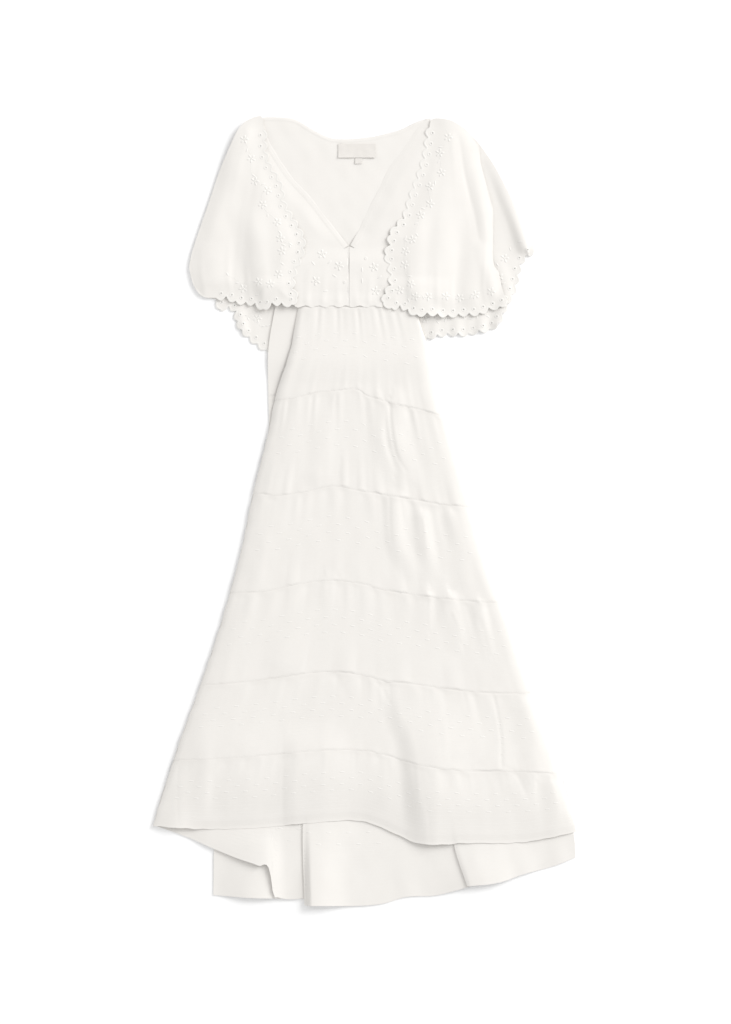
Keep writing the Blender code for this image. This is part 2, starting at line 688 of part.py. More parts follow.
def add_skirt_front():
    """Six tiers, each gathered into the one above and lapped by it, and the hem pressed down in places."""
    for tier in range(1, len(SEAM_NAMES)):
        last = tier == len(SEAM_NAMES) - 1
        rows = []
        for v in HEM_TIER_ROWS if last else TIER_ROWS:
            row = []
            for s in column_shares():
                top = table_value(SKIRT_SEAMS, "s", SEAM_NAMES[tier - 1], s)
                foot = table_value(SKIRT_SEAMS, "s", SEAM_NAMES[tier], s)
                foot -= 0.0 if last else LAP
                y = top + v * (foot - top)
                x, from_left, from_right = skirt_place(s, y, "front_left")
                edge = rounded_edge(min(from_left, from_right))
                wave = 0.5 - 0.5 * math.cos(2.0 * math.pi * (GATHER_WAVES * s + 0.5 * (tier % 2)))
                gather = GATHER_DEPTH * (1.0 - smooth_step(v / GATHER_REACH)) * edge * wave
                low_half = smooth_step(2.0 * v - 1.0)
                lift = 0.0 if last else LAP_LIFT * low_half
                press = table_value(HEM_PRESS, "s", "press", s) * smooth_step((v - 0.1) / 0.9)
                press = press if last else 0.0
                under = skirt_front_under(x, y, from_left, from_right, gather, press)
                row.append((x, y, under + lift))
            rows.append(row)
        add_grid_wall(f"skirt_front_tier_{tier}", rows)


def add_skirt_back():
    """Five plain tiers under the front, edge to edge along straight seams."""
    columns = 6
    rows_per_tier = 8
    for tier in range(1, len(BACK_SEAM_HEIGHTS)):
        top = BACK_SEAM_HEIGHTS[tier - 1] - SEAM_GAP
        foot = BACK_SEAM_HEIGHTS[tier]
        rows = []
        for i in range(rows_per_tier + 1):
            y = top + (foot - top) * i / rows_per_tier
            places = [skirt_place(j / columns, y, "back_left")[0] for j in range(columns + 1)]
            rows.append([(x, y, body_back_under(y)) for x in places])
        add_grid_wall(f"skirt_back_tier_{tier}", rows)


def side_at(side, v):
    """The place a share of the way down a stretch's side."""
    path = [Vector(p) for p in side]
    total = path[0].y - path[-1].y
    y = path[0].y - v * total
    for a, b in zip(path, path[1:]):
        if y >= b.y - 1e-6:
            return a.lerp(b, (a.y - y) / (a.y - b.y))
    return path[-1]


def stretch_shares(stretch):
    """Shares across a stretch: the corners of its hem, and even ones that keep apart from them."""
    shares = [s for s, _ in stretch.hem]
    for j in range(stretch.columns + 1):
        even = j / stretch.columns
        if all(abs(even - s) > COLUMN_APART for s in shares):
            shares.append(even)
    return sorted(shares)


def add_back_hem():
    """The lowest back tier, in the stretches that its folds make."""
    top = BACK_SEAM_HEIGHTS[-1] - SEAM_GAP
    for stretch in BACK_HEM_STRETCHES:
        rows = []
        for v in STRETCH_ROWS:
            left = side_at(stretch.left, v)
            right = side_at(stretch.right, v)
            row = []
            for s in stretch_shares(stretch):
                x = left.x + s * (right.x - left.x)
                y = top + v * (hem_height(stretch.hem, s) - top)
                row.append((x, y, low_back_under(stretch.name, x, y)))
            rows.append(row)
        add_grid_wall(stretch.name, rows)


def hem_height(hem, s):
    """The height of a stretch's hem at a share of its width."""
    for (sa, ya), (sb, yb) in zip(hem, hem[1:]):
        if s <= sb + 1e-9:
            return ya + (yb - ya) * (s - sa) / (sb - sa)
    return hem[-1][1]


def scalloped(points, outward):
    """A scalloped edge along the points, and its eyelets. outward is 1 where out is left of the path."""
    path = smooth_path(points, SCALLOP_PITCH)
    sides = normals(path)
    edge = []
    eyelets = []
    for i in range(len(path) - 1):
        for t in SCALLOP_STATIONS:
            bulge = SCALLOP_DEPTH * math.sin(math.pi * t)
            side = sides[i].lerp(sides[i + 1], t)
            edge.append(path[i].lerp(path[i + 1], t) + side * outward * bulge)
        middle = path[i].lerp(path[i + 1], 0.5)
        inward = -outward * sides[i].lerp(sides[i + 1], 0.5).normalized()
        eyelets.append(middle + inward * EYELET_INSET)
    edge.append(path[-1])
    return edge, eyelets


def eyelet_loop(centre):
    """The outline of an eyelet."""
    radius = 0.5 * EYELET_DIAMETER
    turn = 2.0 * math.pi / EYELET_SIDES
    return [
        (centre.x + radius * math.cos(turn * k), centre.y + radius * math.sin(turn * k))
        for k in range(EYELET_SIDES)
    ]


def add_cape(name, scallop_points, plain_points, outward, under, shows, inset=0.0):
    """A cape half. Eyelets are cut where shows(x, y) is true."""
    edge, centres = scalloped(scallop_points, outward)
    plain = smooth_path(plain_points, PLAIN_STEP)
    plain = [plain[0]] + offset_path(plain, -outward * inset)[1:-1] + [plain[-1]]
    outline = edge + plain[1:-1]
    holes = []
    spacing = EYELET_SPACING * EYELET_DIAMETER
    kept = []
    for centre in centres:
        alone = all((centre - other).length > spacing for other in kept)
        clear = clear_of([[tuple(p) for p in outline]], *centre, EYELET_MARGIN)
        if alone and clear and shows(centre.x, centre.y):
            kept.append(centre)
            holes.append(eyelet_loop(centre))
    rounding = offset_path(plain, -outward * ROUNDING_ROW)[1:-1]
    return add_outline_wall(name, outline, under, CAPE_MESH, holes, rounding)


def add_capes():
    """Two front and two back cape halves with scalloped, eyelet-edged borders."""

    def everywhere(x, y):
        return True

    def left_of_skirt(x, y):
        return x < BACK_EYELETS_LEFT_X or y < BACK_EYELETS_LEFT_Y

    def right_of_skirt(x, y):
        return x > BACK_EYELETS_RIGHT_X

    def back_under(x, y):
        return cape_back_top(x, y) - CLOTH

    add_cape(
        "cape_front_left", CAPE_FRONT_LEFT_SCALLOPED, CAPE_LEFT_PLAIN, 1,
        cape_front_under(CAPE_LEFT_FOLDS, CAPE_LEFT_PLAIN[:-1], CAPE_FRONT_LEFT_SCALLOPED), everywhere,
    )
    add_cape(
        "cape_front_right", CAPE_FRONT_RIGHT_SCALLOPED, CAPE_FRONT_RIGHT_PLAIN, -1,
        cape_front_under(CAPE_RIGHT_FOLDS, CAPE_FRONT_RIGHT_PLAIN[:-1], CAPE_FRONT_RIGHT_SCALLOPED),
        everywhere,
    )
    add_cape(
        "cape_back_left", CAPE_BACK_LEFT_SCALLOPED, CAPE_BACK_LEFT_PLAIN, -1,
        back_under, left_of_skirt, BACK_CAPE_INSET,
    )
    add_cape(
        "cape_back_right", CAPE_BACK_RIGHT_SCALLOPED, CAPE_BACK_RIGHT_PLAIN, -1,
        back_under, right_of_skirt, BACK_CAPE_INSET,
    )


def bodice_front_under(x, y):
    """Underside of the bodice fronts: off the back below the V, and lapped over the waist."""
    puffed = BODICE_PUFF * smooth_step((V_FOOT - y) / V_FOOT_EASE)
    lapped = LAP_LIFT * smooth_step((WAIST_LAP_START - y) / WAIST_LAP_EASE)
    return BODY_FRONT_UNDER + puffed + lapped


def waist_line(start, end):
    """The gathered foot of a bodice front, from one place across to another."""
    steps = 12
    line = []
    for i in range(steps + 1):
        x = start + (end - start) * i / steps
        turn = 2.0 * math.pi * WAIST_WAVES * (x - WAIST_WAVE_START) / WAIST_WIDTH
        line.append((x, WAIST_SEAM_Y + WAIST_WAVE_DEPTH * math.cos(turn)))
    return line


def add_bodice_back():
    """The bodice back and the binding of its neck."""

    def under(x, y):
        return BODY_BACK_UNDER

    neck = smooth_path(BACK_NECK, NECK_STEP)
    strip = neck + offset_path(neck, -BINDING_WIDTH)[::-1]
    add_outline_wall("back_neck_binding", strip, under, BODICE_MESH)
    body_neck = offset_path(neck, -BINDING_WIDTH - SEAM_GAP)
    outline = body_neck + list(BODICE_BACK_RIGHT_SIDE) + list(BODICE_BACK_LEFT_SIDE)
    add_outline_wall("bodice_back", outline, under, BODICE_MESH)


def add_bodice_front(side, v_edge, outward, waist_x, side_edge):
    """A bodice front and the binding of its V edge. outward is 1 on the left and -1 on the right."""
    centre = CENTRE_X - 0.5 * outward * SEAM_GAP
    path = smooth_path(v_edge, V_STEP)
    strip = path + offset_path(path, -outward * V_BINDING_WIDTH)[::-1]
    strip = [(outward * min(outward * p[0], outward * centre), p[1]) for p in strip]
    add_outline_wall(f"front_neck_binding_{side}", strip, bodice_front_under, BODICE_MESH)
    edge = offset_path(path, -outward * (V_BINDING_WIDTH + SEAM_GAP))
    edge = [p for p in edge if outward * (centre - p.x) > 1.0]
    outline = edge + [(centre, V_MEETING_Y)] + waist_line(centre, waist_x) + list(side_edge)
    add_outline_wall(f"bodice_front_{side}", outline, bodice_front_under, BODICE_MESH)


def add_bodice():
    """Bodice back, the two bodice fronts and the bindings of the neck."""
    add_bodice_back()
    add_bodice_front("left", V_LEFT, 1, WAIST_LEFT_X, BODICE_FRONT_LEFT_SIDE[1:])
    add_bodice_front("right", V_RIGHT, -1, WAIST_RIGHT_X, BODICE_FRONT_RIGHT_SIDE[-2::-1])


def rectangle(centre, size):
    """The corners of a rectangle."""
    x, y = centre
    w, h = 0.5 * size[0], 0.5 * size[1]
    return [(x - w, y - h), (x + w, y - h), (x + w, y + h), (x - w, y + h)]


def add_labels():
    """A blank neck label and a blank size tab on the inside of the bodice back."""
    on_back = BODY_BACK_UNDER + CLOTH + SEAM_GAP

    def under(x, y):
        return on_back

    for name, centre, size in (
        ("neck_label", LABEL_CENTRE, LABEL_SIZE),
        ("size_tab", TAB_CENTRE, TAB_SIZE),
    ):
        outline = rectangle(centre, size)
        add_outline_wall(name, outline, under, BODICE_MESH, colour=LABEL_COLOUR, cloth=LABEL_CLOTH)


def main():
    for old in list(bpy.data.objects):
        bpy.data.objects.remove(old)
    add_skirt_back()
    add_back_hem()
    add_capes()
    add_bodice()
    add_labels()
    add_skirt_front()


main()
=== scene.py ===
"""Looks of an embroidered midi dress that lies flat on its back, seen from straight above.

Metres, +Z up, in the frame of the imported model. The dress lies on z = 0 with its front up. +Y runs from the
hem to the neck and +X to the right as seen from above. Its sizes are in millimetres, and MM turns them into
metres. Each cloth is a closed shell whose upper side follows that of the solid that it replaces.
"""
import math
import random
from collections import namedtuple

import bpy
import numpy as np
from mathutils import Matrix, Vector
from mathutils.geometry import delaunay_2d_cdt


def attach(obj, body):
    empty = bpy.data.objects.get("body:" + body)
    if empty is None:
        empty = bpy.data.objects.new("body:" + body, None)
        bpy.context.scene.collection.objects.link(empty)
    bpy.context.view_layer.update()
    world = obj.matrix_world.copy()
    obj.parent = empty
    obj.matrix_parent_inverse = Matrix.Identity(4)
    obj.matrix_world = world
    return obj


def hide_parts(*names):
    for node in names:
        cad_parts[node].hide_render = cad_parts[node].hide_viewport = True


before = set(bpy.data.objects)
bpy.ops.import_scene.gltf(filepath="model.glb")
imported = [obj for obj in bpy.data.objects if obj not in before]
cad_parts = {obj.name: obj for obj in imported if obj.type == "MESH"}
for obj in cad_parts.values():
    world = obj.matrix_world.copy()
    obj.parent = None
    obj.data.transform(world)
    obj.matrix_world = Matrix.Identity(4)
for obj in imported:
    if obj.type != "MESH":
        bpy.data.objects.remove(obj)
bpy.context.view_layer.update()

MM = 0.001

# Sizes shared with the solids
CLOTH = 1.5
LAYER_GAP = 0.6
SEAM_GAP = 0.3
PUFF = 2.4
EDGE_ROUND = 10.0
LAP = 5.0
LAP_LIFT = 2.4
BINDING_WIDTH = 6.0
V_BINDING_WIDTH = 9.0
SCALLOP_PITCH = 17.0
SCALLOP_DEPTH = 5.5
EYELET_DIAMETER = 5.2
EYELET_INSET = 6.0
GATHER_WAVES = 12
GATHER_DEPTH = 1.6
GATHER_REACH = 0.55
WAIST_WAVES = 9
WAIST_WAVE_DEPTH = 1.5
BODY_BACK_UNDER = CLOTH + LAYER_GAP
BODY_FRONT_UNDER = BODY_BACK_UNDER + CLOTH + LAYER_GAP
CAPE_FRONT_UNDER = BODY_FRONT_UNDER + PUFF + CLOTH + LAYER_GAP
STEP_TOP = 248.0
STEP_FOOT = 200.0
LOW_START = -330.0
LOW_FULL = -390.0
CENTRE_X = -24.5
SIDE_PUFF = 4.5
SIDE_REACH_LEFT = 42.0
SIDE_REACH_RIGHT = 22.0
PUFF_START = 320.0
PUFF_FULL = 210.0
LOW_RISE_START = -470.0
LOW_RISE_FULL = -590.0
V_FOOT = 425.0
V_FOOT_EASE = 30.0
WAIST_LAP_START = 352.0
WAIST_LAP_EASE = 16.0
TORSO_MARGIN = 12.0
TORSO_EASE = 50.0
CAPE_WAIST_START = 378.0
CAPE_WAIST_EASE = 20.0
CAPE_LOWEST_FOLD = -0.4
CAPE_DROP_START = 430.0
CAPE_DROP_EASE = 60.0
CAPE_EDGE_DROP = 0.75
CAPE_EDGE_START = 4.0
CAPE_EDGE_EASE = 26.0
V_MEETING_Y = 423.6
WAIST_LEFT_X = -112.0
WAIST_RIGHT_X = 79.0
WAIST_SEAM_Y = 327.0
WAIST_WAVE_START = -116.0
WAIST_WIDTH = 195.0
EYELET_MARGIN = 4.2
EYELET_SPACING = 1.6
BACK_CAPE_INSET = 0.5
BACK_EYELETS_LEFT_X = -156.0
BACK_EYELETS_LEFT_Y = 262.0
BACK_EYELETS_RIGHT_X = 96.0

# Sizes of the finish. A front cape rounds over a longer way here than in the solids.
SHELL = 0.8
THIN_EDGE = 0.1
THIN_REACH = 6.0
EDGE_LIFT = 0.12
EDGE_FALL = 3.4
CAPE_ROUND = 24.0
LAP_DIP = 1.3
LAP_LIFT_MEAN = 0.14
LAP_LIFT_SLOPE = 0.16
LEAST_LIFT = 0.12
MOST_LIFT = 0.75
WAIST_LIFT = 0.12
LOWEST_RELIEF = -0.3
PRESS_START = 0.1
PRESS_EASE = 0.9
PRESS_POWER = 1.5
HEM_SETTLE = 1.5
HEM_SETTLE_START = 0.86
HEM_SETTLE_EASE = 0.14
CAPE_SETTLE = 1.75
V_EDGE_GAP = 1.0
V_SETTLE = 1.8
V_SETTLE_START = 3.0
V_SETTLE_EASE = 26.0
LEFT_SETTLE = 1.3
LEFT_SETTLE_REACH = 14.0
LEFT_SETTLE_START = 110.0
LEFT_SETTLE_EASE = 50.0
SIDE_WAVES_REACH = 30.0
GATHER_START = 4.0
GATHER_EASE = 10.0
CREASE_START = 2.0
CREASE_EASE = 9.0
NECK_EASE_Y = 600.0
NECK_EASE = 60.0

# Spacing of the meshes' points, and the angles in degrees over which their edges stay sharp
CLOTH_SHARP = 50.0
TRIM_SHARP = 80.0
TIER_COLUMN = 2.4
TIER_ROW = 2.6
FOOT_ROWS = (0.6, 1.3, 2.0, 3.4)
BACK_CELL = 5.0
STRETCH_CELL = 3.0
CAPE_CELL = 2.8
BODICE_CELL = 3.2
LABEL_CELL = 1.5
FOLD_STEP = 14.0
SIDE_STEP = 10.0
BODICE_STEP = 5.0
WAIST_POINTS = 60
PLAIN_EDGE_STEP = 6.0
PLAIN_EDGE_ROWS = (0.7, 1.6)
SCALLOP_STATIONS = 8
EYELET_SIDES = 14

# Cords, dashes and stitches. A copied part's size is half its length, half its width, and its height.
CORD_PITCH = 5.5
CORD_STEP = 4.0
CORD_WIDTH = 1.3
CORD_HEIGHT = 0.18
CORD_SUNK = 0.15
CORD_START = 0.15
CORD_STOP = 0.88
CORD_INSET = 0.006
DASH_SIZE = (4.5, 1.0, 0.4)
DASH_ROWS = (0.34, 0.42, 0.50, 0.58)
DASH_SPACING = 30.0
DASH_MARGIN = 0.03
STITCH_SIZE = (1.3, 0.3, 0.3)
STITCH_PITCH = 3.6
STITCH_MARGIN = 0.012
HEM_STITCH_INSET = 7.0
LAP_STITCH_INSET = 2.4
TRIM_SUNK = 0.12

# The capes' rims and vines, and the motifs of the bodice
RIM_STEP = 1.3
RIM_RIB = 0.16
RIM_SUNK = 0.05
RIM_HEIGHT = 0.2
RIM_SECTION = ((-0.25, 0.0), (0.4, 0.75), (1.4, 1.0), (2.5, 0.75), (3.2, 0.0))
RING_WIDTH = 1.1
RING_HEIGHT = 0.35
VINE_STEP = 2.0
VINE_SWAY = 5.0
VINE_INSET = 27.0
VINE_WAVE = 52.0
VINE_EDGE_GAP = 15.0
STEM_SECTION = ((0.55, -0.1), (0.0, 0.25), (-0.55, -0.1))
SHORTEST_STEM = 8
FLOWER_GAP = 19.0
FLOWER_END = 6
PETALS = 5
PETAL_REACH = 4.6
PETAL_SIZE = (2.9, 1.9, 0.55)
FLOWER_RING_SIZE = (2.2, 2.2, 0.55)
LEAF_PITCH = 5
LEAF_END = 4
LEAF_GAP = 9.5
LEAF_REACH = 4.2
LEAF_SIZE = (3.9, 1.5, 0.5)
MOTIF_RING_SIZE = (2.6, 2.6, 0.6)
MOTIF_PETAL_REACH = 5.2
MOTIF_PETAL_SIZE = (2.9, 2.0, 0.6)
MOTIF_LEAF_SIZE = (4.6, 1.7, 0.55)

# A binding's section runs across it: a free domed half, a sewn half that laps its cloth, and a flat foot
BINDING_STEP = 1.6
BINDING_STEPS = 8
BINDING_OVERLAP = 1.07
BINDING_SUNK = -0.45
BINDING_DOME = 0.4
BINDING_BLUNT = 2.6
BINDING_SEWN = 0.1
BINDING_SEWN_FALL = 0.12
BINDING_FOOT = ((0.9, -0.55), (0.1, -0.55))
BINDING_STITCH_INSET = 1.6
BINDING_STITCH_LIFT = 0.05

# How much of a fold's, crease's or gather's height each cloth shows, and the most that the back's plain tiers
# rise by it
CAPE_FOLD_SHARE = 0.8
CAPE_CREASE_SHARE = 0.4
CREASE_SHARE = 0.45
GATHER_SHARE = 0.4
BACK_GATHER_SHARE = 0.5
BACK_MOST_FINE = 0.6

# Unevenness: the height and length of its waves, and how much the surface's y counts against its x. A seam's
# waves run over one set width, whatever its real one.
Waves = namedtuple("Waves", "height length stretch", defaults=(1.0,))
SEAM_WAVES = Waves(0.6, 16.0)
SIDE_WAVES = Waves(0.5, 30.0)
GATHER_DRIFT = Waves(0.4, 90.0)
LIFT_WAVES = Waves(0.3, 42.0)
WAIST_UNEVEN = Waves(0.5, 12.0)
FRONT_RIPPLE = Waves(0.16, 34.0, 0.4)
BACK_RIPPLE = Waves(0.12, 40.0)
STRETCH_RIPPLE = Waves(0.2, 36.0, 0.4)
CAPE_RIPPLE = Waves(0.2, 38.0, 0.6)
CAPE_BACK_RIPPLE = Waves(0.15, 30.0)
BODICE_RIPPLE = Waves(0.15, 30.0)
BODICE_BACK_RIPPLE = Waves(0.2, 34.0)
LABEL_RIPPLE = Waves(0.12, 16.0)
CORD_RIPPLE = Waves(0.6, 90.0)
SEAM_WIDTH = 400.0

# Seeds of the uneven forms. A tier's number is added to those of the skirt.
TOP_PUCKER_SEED = 100
FOOT_PUCKER_SEED = 200
SEAM_SEED = 300
SIDE_SEED = 320
GATHER_SEED = 340
FRONT_SEED = 360
LIFT_SEED = 380
BACK_SEED = 400
STRETCH_SEED = 420
CAPE_BACK_SEED = 31
BODICE_SEED = 47
BODICE_BACK_SEED = 53
CAPE_LEFT_SEED = 61
CAPE_RIGHT_SEED = 62
WAIST_SEED = 71
LABEL_SEED = 83
CORD_SEED = 91

# Uneven gathers at the tops and feet of the tiers, how wide the first tier is at each, and how much wider
# each tier is than the one above it
PuckerKind = namedtuple("PuckerKind", "spacing longest highest")
TOP_KIND = PuckerKind(9.0, 95.0, 0.45)
FOOT_KIND = PuckerKind(10.0, 24.0, 0.3)
TOP_PUCKER_WIDTH = 220.0
FOOT_PUCKER_WIDTH = 290.0
TIER_GROWTH = 72.0

# How much fuller each cloth was cut than it lies
Fullness = namedtuple("Fullness", "width length area")

# Outline of the skirt, from the waist to the hem: a row for each height y
Edge = namedtuple("Edge", "y front_left back_left right")
SKIRT_EDGES = (
    Edge(333, -106, -142, 79),
    Edge(258, -119, -154, 102),
    Edge(186, -142, -154, 119),
    Edge(126, -154, -154, 136),
    Edge(30, -178, -178, 164),
    Edge(-66, -198, -198, 191),
    Edge(-181, -230, -230, 233),
    Edge(-277, -262, -262, 263),
    Edge(-373, -297, -297, 297),
    Edge(-462, -326, -326, 326),
    Edge(-514, -342, -342, 339),
)

# Heights of the skirt's seams and hem, a row for each share s of its width from left to right
Seam = namedtuple("Seam", "s waist seam_1 seam_2 seam_3 seam_4 seam_5 hem")
SKIRT_SEAMS = (
    Seam(0.0, 328, 182, 34, -126, -274, -394, -504),
    Seam(0.125, 331, 186, 30, -124, -269, -391, -509),
    Seam(0.25, 333, 194, 36, -112, -260, -385, -507),
    Seam(0.375, 331, 197, 45, -106, -252, -378, -499),
    Seam(0.5, 330, 199, 37, -112, -258, -378, -497),
    Seam(0.56, 331, 189, 34, -120, -267, -386, -512),
    Seam(0.625, 333, 184, 30, -125, -270, -398, -531),
    Seam(0.75, 334, 174, 23, -133, -279, -410, -531),
    Seam(0.875, 334, 166, 15, -139, -286, -411, -530),
    Seam(1.0, 333, 155, 11, -142, -286, -416, -514),
)
SEAM_NAMES = ("waist", "seam_1", "seam_2", "seam_3", "seam_4", "seam_5", "hem")
LAST_TIER = len(SEAM_NAMES) - 1
BACK_SEAM_HEIGHTS = (331, 186, 32, -124, -270, -397)

# Outline of the torso under the capes
Torso = namedtuple("Torso", "y left right")
TORSO_EDGES = (
    Torso(640, -190, 124),
    Torso(554, -183, 116),
    Torso(474, -164, 105),
    Torso(402, -146, 92),
    Torso(333, -130, 84),
    Torso(258, -154, 104),
    Torso(200, -154, 118),
)

# Soft folds: a path down the cloth, the fold's reach to either side of it, and its height along the path.
# A fold with no middle height runs evenly from its start to its end. The front's folds are the solids' own,
# but for the short one from (103, -137), which is lower and wider here.
Fold = namedtuple("Fold", "path left right start end middle", defaults=(None,))
FRONT_FOLDS = (
    Fold(((-105, 322), (-117, 258), (-139, 186), (-152, 120)), 10, 24, 0.0, 0.0, 2.6),
    Fold(((46, 176), (50, 114), (74, 56)), 20, 28, 2.0, 0.6, 2.7),
    Fold(((28, 172), (28, 114), (44, 62)), 26, 10, 1.0, 0.6, 1.8),
    Fold(((-60, 150), (-72, 60)), 30, 30, 0.6, 1.2),
    Fold(((50, 18), (54, -54), (74, -92)), 24, 22, 2.2, 0.8, 2.8),
    Fold(((92, -10), (100, -60), (108, -100)), 22, 18, 2.4, 0.8, 2.6),
    Fold(((142, -10), (156, -60), (160, -110)), 24, 20, 1.6, 0.4),
    Fold(((103, -137), (103, -186)), 28, 12, 1.6, 0.4),
    Fold(((138, -140), (152, -206)), 30, 16, 2.2, 0.8),
    Fold(((186, -150), (200, -226)), 22, 12, 1.8, 0.6),
    Fold(((-110, -130), (-130, -240)), 40, 40, 0.5, 1.4),
    Fold(((-62, -112), (-58, -170)), 16, 26, 1.0, 0.2),
    Fold(((218, -300), (220, -404)), 30, 30, 0.0, 1.0),
    Fold(((262, -320), (272, -420)), 36, 24, 1.2, 2.0),
    Fold(((232, -420), (266, -470), (276, -520)), 30, 26, 0.6, 1.2),
    Fold(((300, -440), (308, -512)), 26, 16, 1.0, 1.6),
    Fold(((-252, -360), (-256, -430), (-258, -520)), 30, 18, 0.0, 2.0),
    Fold(((-186, -350), (-188, -430), (-196, -520)), 52, 50, 0.6, 2.6),
    Fold(((-26, -262), (2, -302), (16, -366), (20, -446), (20, -538)), 70, 40, 0.0, 1.6),
    Fold(((36, -262), (62, -326), (82, -374), (90, -446), (97, -538)), 34, 130, 0.0, 9.5, 6.2),
    Fold(((-14, -450), (-6, -530)), 44, 40, 0.6, 3.0),
    Fold(((-120, -420), (-130, -520)), 40, 40, 0.4, 1.2),
)

# How far the hem of the skirt's front is pressed onto the back, from 0 where it stands clear
Hem = namedtuple("Hem", "s press")
HEM_PRESS = (
    Hem(0.0, 0.2),
    Hem(0.07, 0.1),
    Hem(0.13, 0.7),
    Hem(0.3, 0.9),
    Hem(0.4, 0.8),
    Hem(0.46, 0.72),
    Hem(0.53, 0.6),
    Hem(0.6, 0.48),
    Hem(0.66, 0.46),
    Hem(0.71, 0.6),
    Hem(0.85, 0.7),
    Hem(0.92, 0.5),
    Hem(1.0, 0.5),
)

# Creases that the solids are too coarse for, placed from the waist down
FRONT_CREASES = (
    Fold(((-11, 202), (-9, 190), (-7, 176)), 3, 4, 0.9, 0.2),
    Fold(((-52, 196), (-56, 160), (-60, 110)), 8, 11, 0.5, 0.0),
    Fold(((20, 190), (24, 150), (26, 96)), 8, 7, 0.5, 0.0),
    Fold(((40, 182), (42, 140), (50, 92), (66, 64)), 4, 5, -2.2, -0.5, -2.3),
    Fold(((92, 152), (100, 110), (112, 60)), 9, 8, 0.7, 0.2),
    Fold(((110, 148), (118, 110), (124, 70)), 7, 6, 0.5, 0.0),
    Fold(((-38, 84), (-40, 62), (-39, 48)), 3, 3, -0.5, -0.4),
    Fold(((40, 22), (41, -20), (43, -50)), 4, 4, -1.0, -0.3, -0.9),
    Fold(((94, -12), (98, -40), (99, -74)), 4, 3, 0.9, 0.3),
    Fold(((112, 8), (124, -50), (130, -90)), 9, 7, 0.6, 0.0),
    Fold(((-150, 10), (-160, -50), (-168, -110)), 9, 11, 0.5, 0.2),
    Fold(((-96, 20), (-102, -40), (-104, -70)), 11, 9, 0.4, 0.0),
    Fold(((104, -134), (104, -170), (105, -194)), 3, 3, 0.5, 0.2),
    Fold(((142, -162), (150, -180), (156, -204)), 5, 4, 0.7, 0.0),
    Fold(((184, -176), (192, -200), (200, -240)), 7, 8, -0.7, -0.3),
    Fold(((-44, -104), (-42, -120), (-38, -148)), 7, 8, -0.7, 0.0),
    Fold(((-180, -140), (-190, -190), (-200, -250)), 11, 14, 0.5, 0.3),
    Fold(((4, -262), (22, -274), (40, -306)), 6, 5, -0.8, -0.4),
    Fold(((-48, -262), (-30, -290), (-14, -320)), 12, 10, -0.6, 0.0),
    Fold(((206, -294), (214, -330), (219, -370), (219, -408)), 4, 3, -1.0, -1.6),
    Fold(((120, -292), (128, -350), (130, -400)), 9, 9, 0.5, 0.3),
    Fold(((-120, -264), (-128, -320), (-130, -370)), 14, 14, 0.5, 0.2),
    Fold(((228, -412), (244, -424), (262, -462)), 5, 7, -1.0, -0.4),
    Fold(((96, -474), (99, -505), (101, -540)), 10, 4, 0.6, 1.8),
    Fold(((-298, -410), (-300, -450), (-298, -500)), 3, 3, -0.5, -0.5),
    Fold(((-26, -466), (-30, -480), (-38, -494)), 4, 4, 0.6, 1.6),
    Fold(((180, -420), (190, -470), (192, -520)), 14, 12, 0.5, 0.9),
)

CAPE_LEFT_FOLDS = (
    Fold(((-196, 604), (-226, 500), (-240, 420), (-236, 340)), 34, 34, 0.8, 2.4),
    Fold(((-184, 560), (-196, 440), (-204, 338)), 22, 22, -0.4, -1.0),
    Fold(((-176, 480), (-172, 390), (-164, 318)), 24, 24, 0.4, 2.0),
    Fold(((-150, 470), (-146, 390), (-143, 330)), 16, 16, -0.2, -0.8),
    Fold(((-124, 430), (-122, 380), (-116, 326)), 20, 20, 0.2, 1.4),
)
CAPE_LEFT_CREASES = (
    Fold(((-186, 606), (-204, 540), (-220, 470)), 7, 10, 0.9, 0.0),
    Fold(((-172, 560), (-182, 500), (-188, 440)), 8, 8, -0.9, 0.0),
    Fold(((-214, 440), (-218, 390), (-214, 344)), 8, 7, 0.0, 1.6),
    Fold(((-192, 430), (-188, 380), (-183, 340)), 7, 6, 0.0, 1.5),
    Fold(((-136, 520), (-128, 470), (-116, 420)), 8, 9, 0.6, 0.6),
    Fold(((-258, 430), (-262, 390), (-256, 350)), 7, 8, 0.0, 1.2),
)
CAPE_RIGHT_FOLDS = (
    Fold(((151, 597), (175, 483), (186, 434)), 16, 14, -0.4, -1.0),
    Fold(((176, 560), (194, 480), (196, 410), (214, 345)), 24, 30, 0.8, 2.4),
    Fold(((60, 430), (62, 380), (62, 330)), 16, 16, -0.2, -0.8),
    Fold(((84, 480), (82, 390), (80, 310)), 22, 22, 0.4, 2.0),
    Fold(((108, 470), (104, 390), (104, 314)), 16, 16, -0.2, -0.8),
    Fold(((136, 500), (130, 400), (128, 308)), 24, 24, 0.4, 1.9),
    Fold(((160, 430), (150, 370), (150, 312)), 16, 16, -0.2, -0.9),
    Fold(((176, 420), (172, 370), (174, 312)), 22, 20, 0.3, 1.8),
)
CAPE_RIGHT_CREASES = (
    Fold(((152, 596), (160, 540), (174, 480), (184, 434)), 5, 5, -0.6, -0.6, -1.6),
    Fold(((140, 600), (144, 540), (150, 470)), 7, 9, 0.8, 0.0),
    Fold(((112, 560), (106, 500), (100, 440)), 10, 8, 0.7, 0.0),
    Fold(((70, 420), (72, 370), (70, 330)), 6, 6, 0.0, 1.3),
    Fold(((116, 420), (116, 370), (116, 320)), 6, 7, 0.0, 1.2),
    Fold(((146, 400), (140, 360), (142, 320)), 6, 6, 0.0, 1.3),
    Fold(((192, 470), (194, 420), (190, 360), (196, 330)), 6, 5, 0.0, 1.4),
)
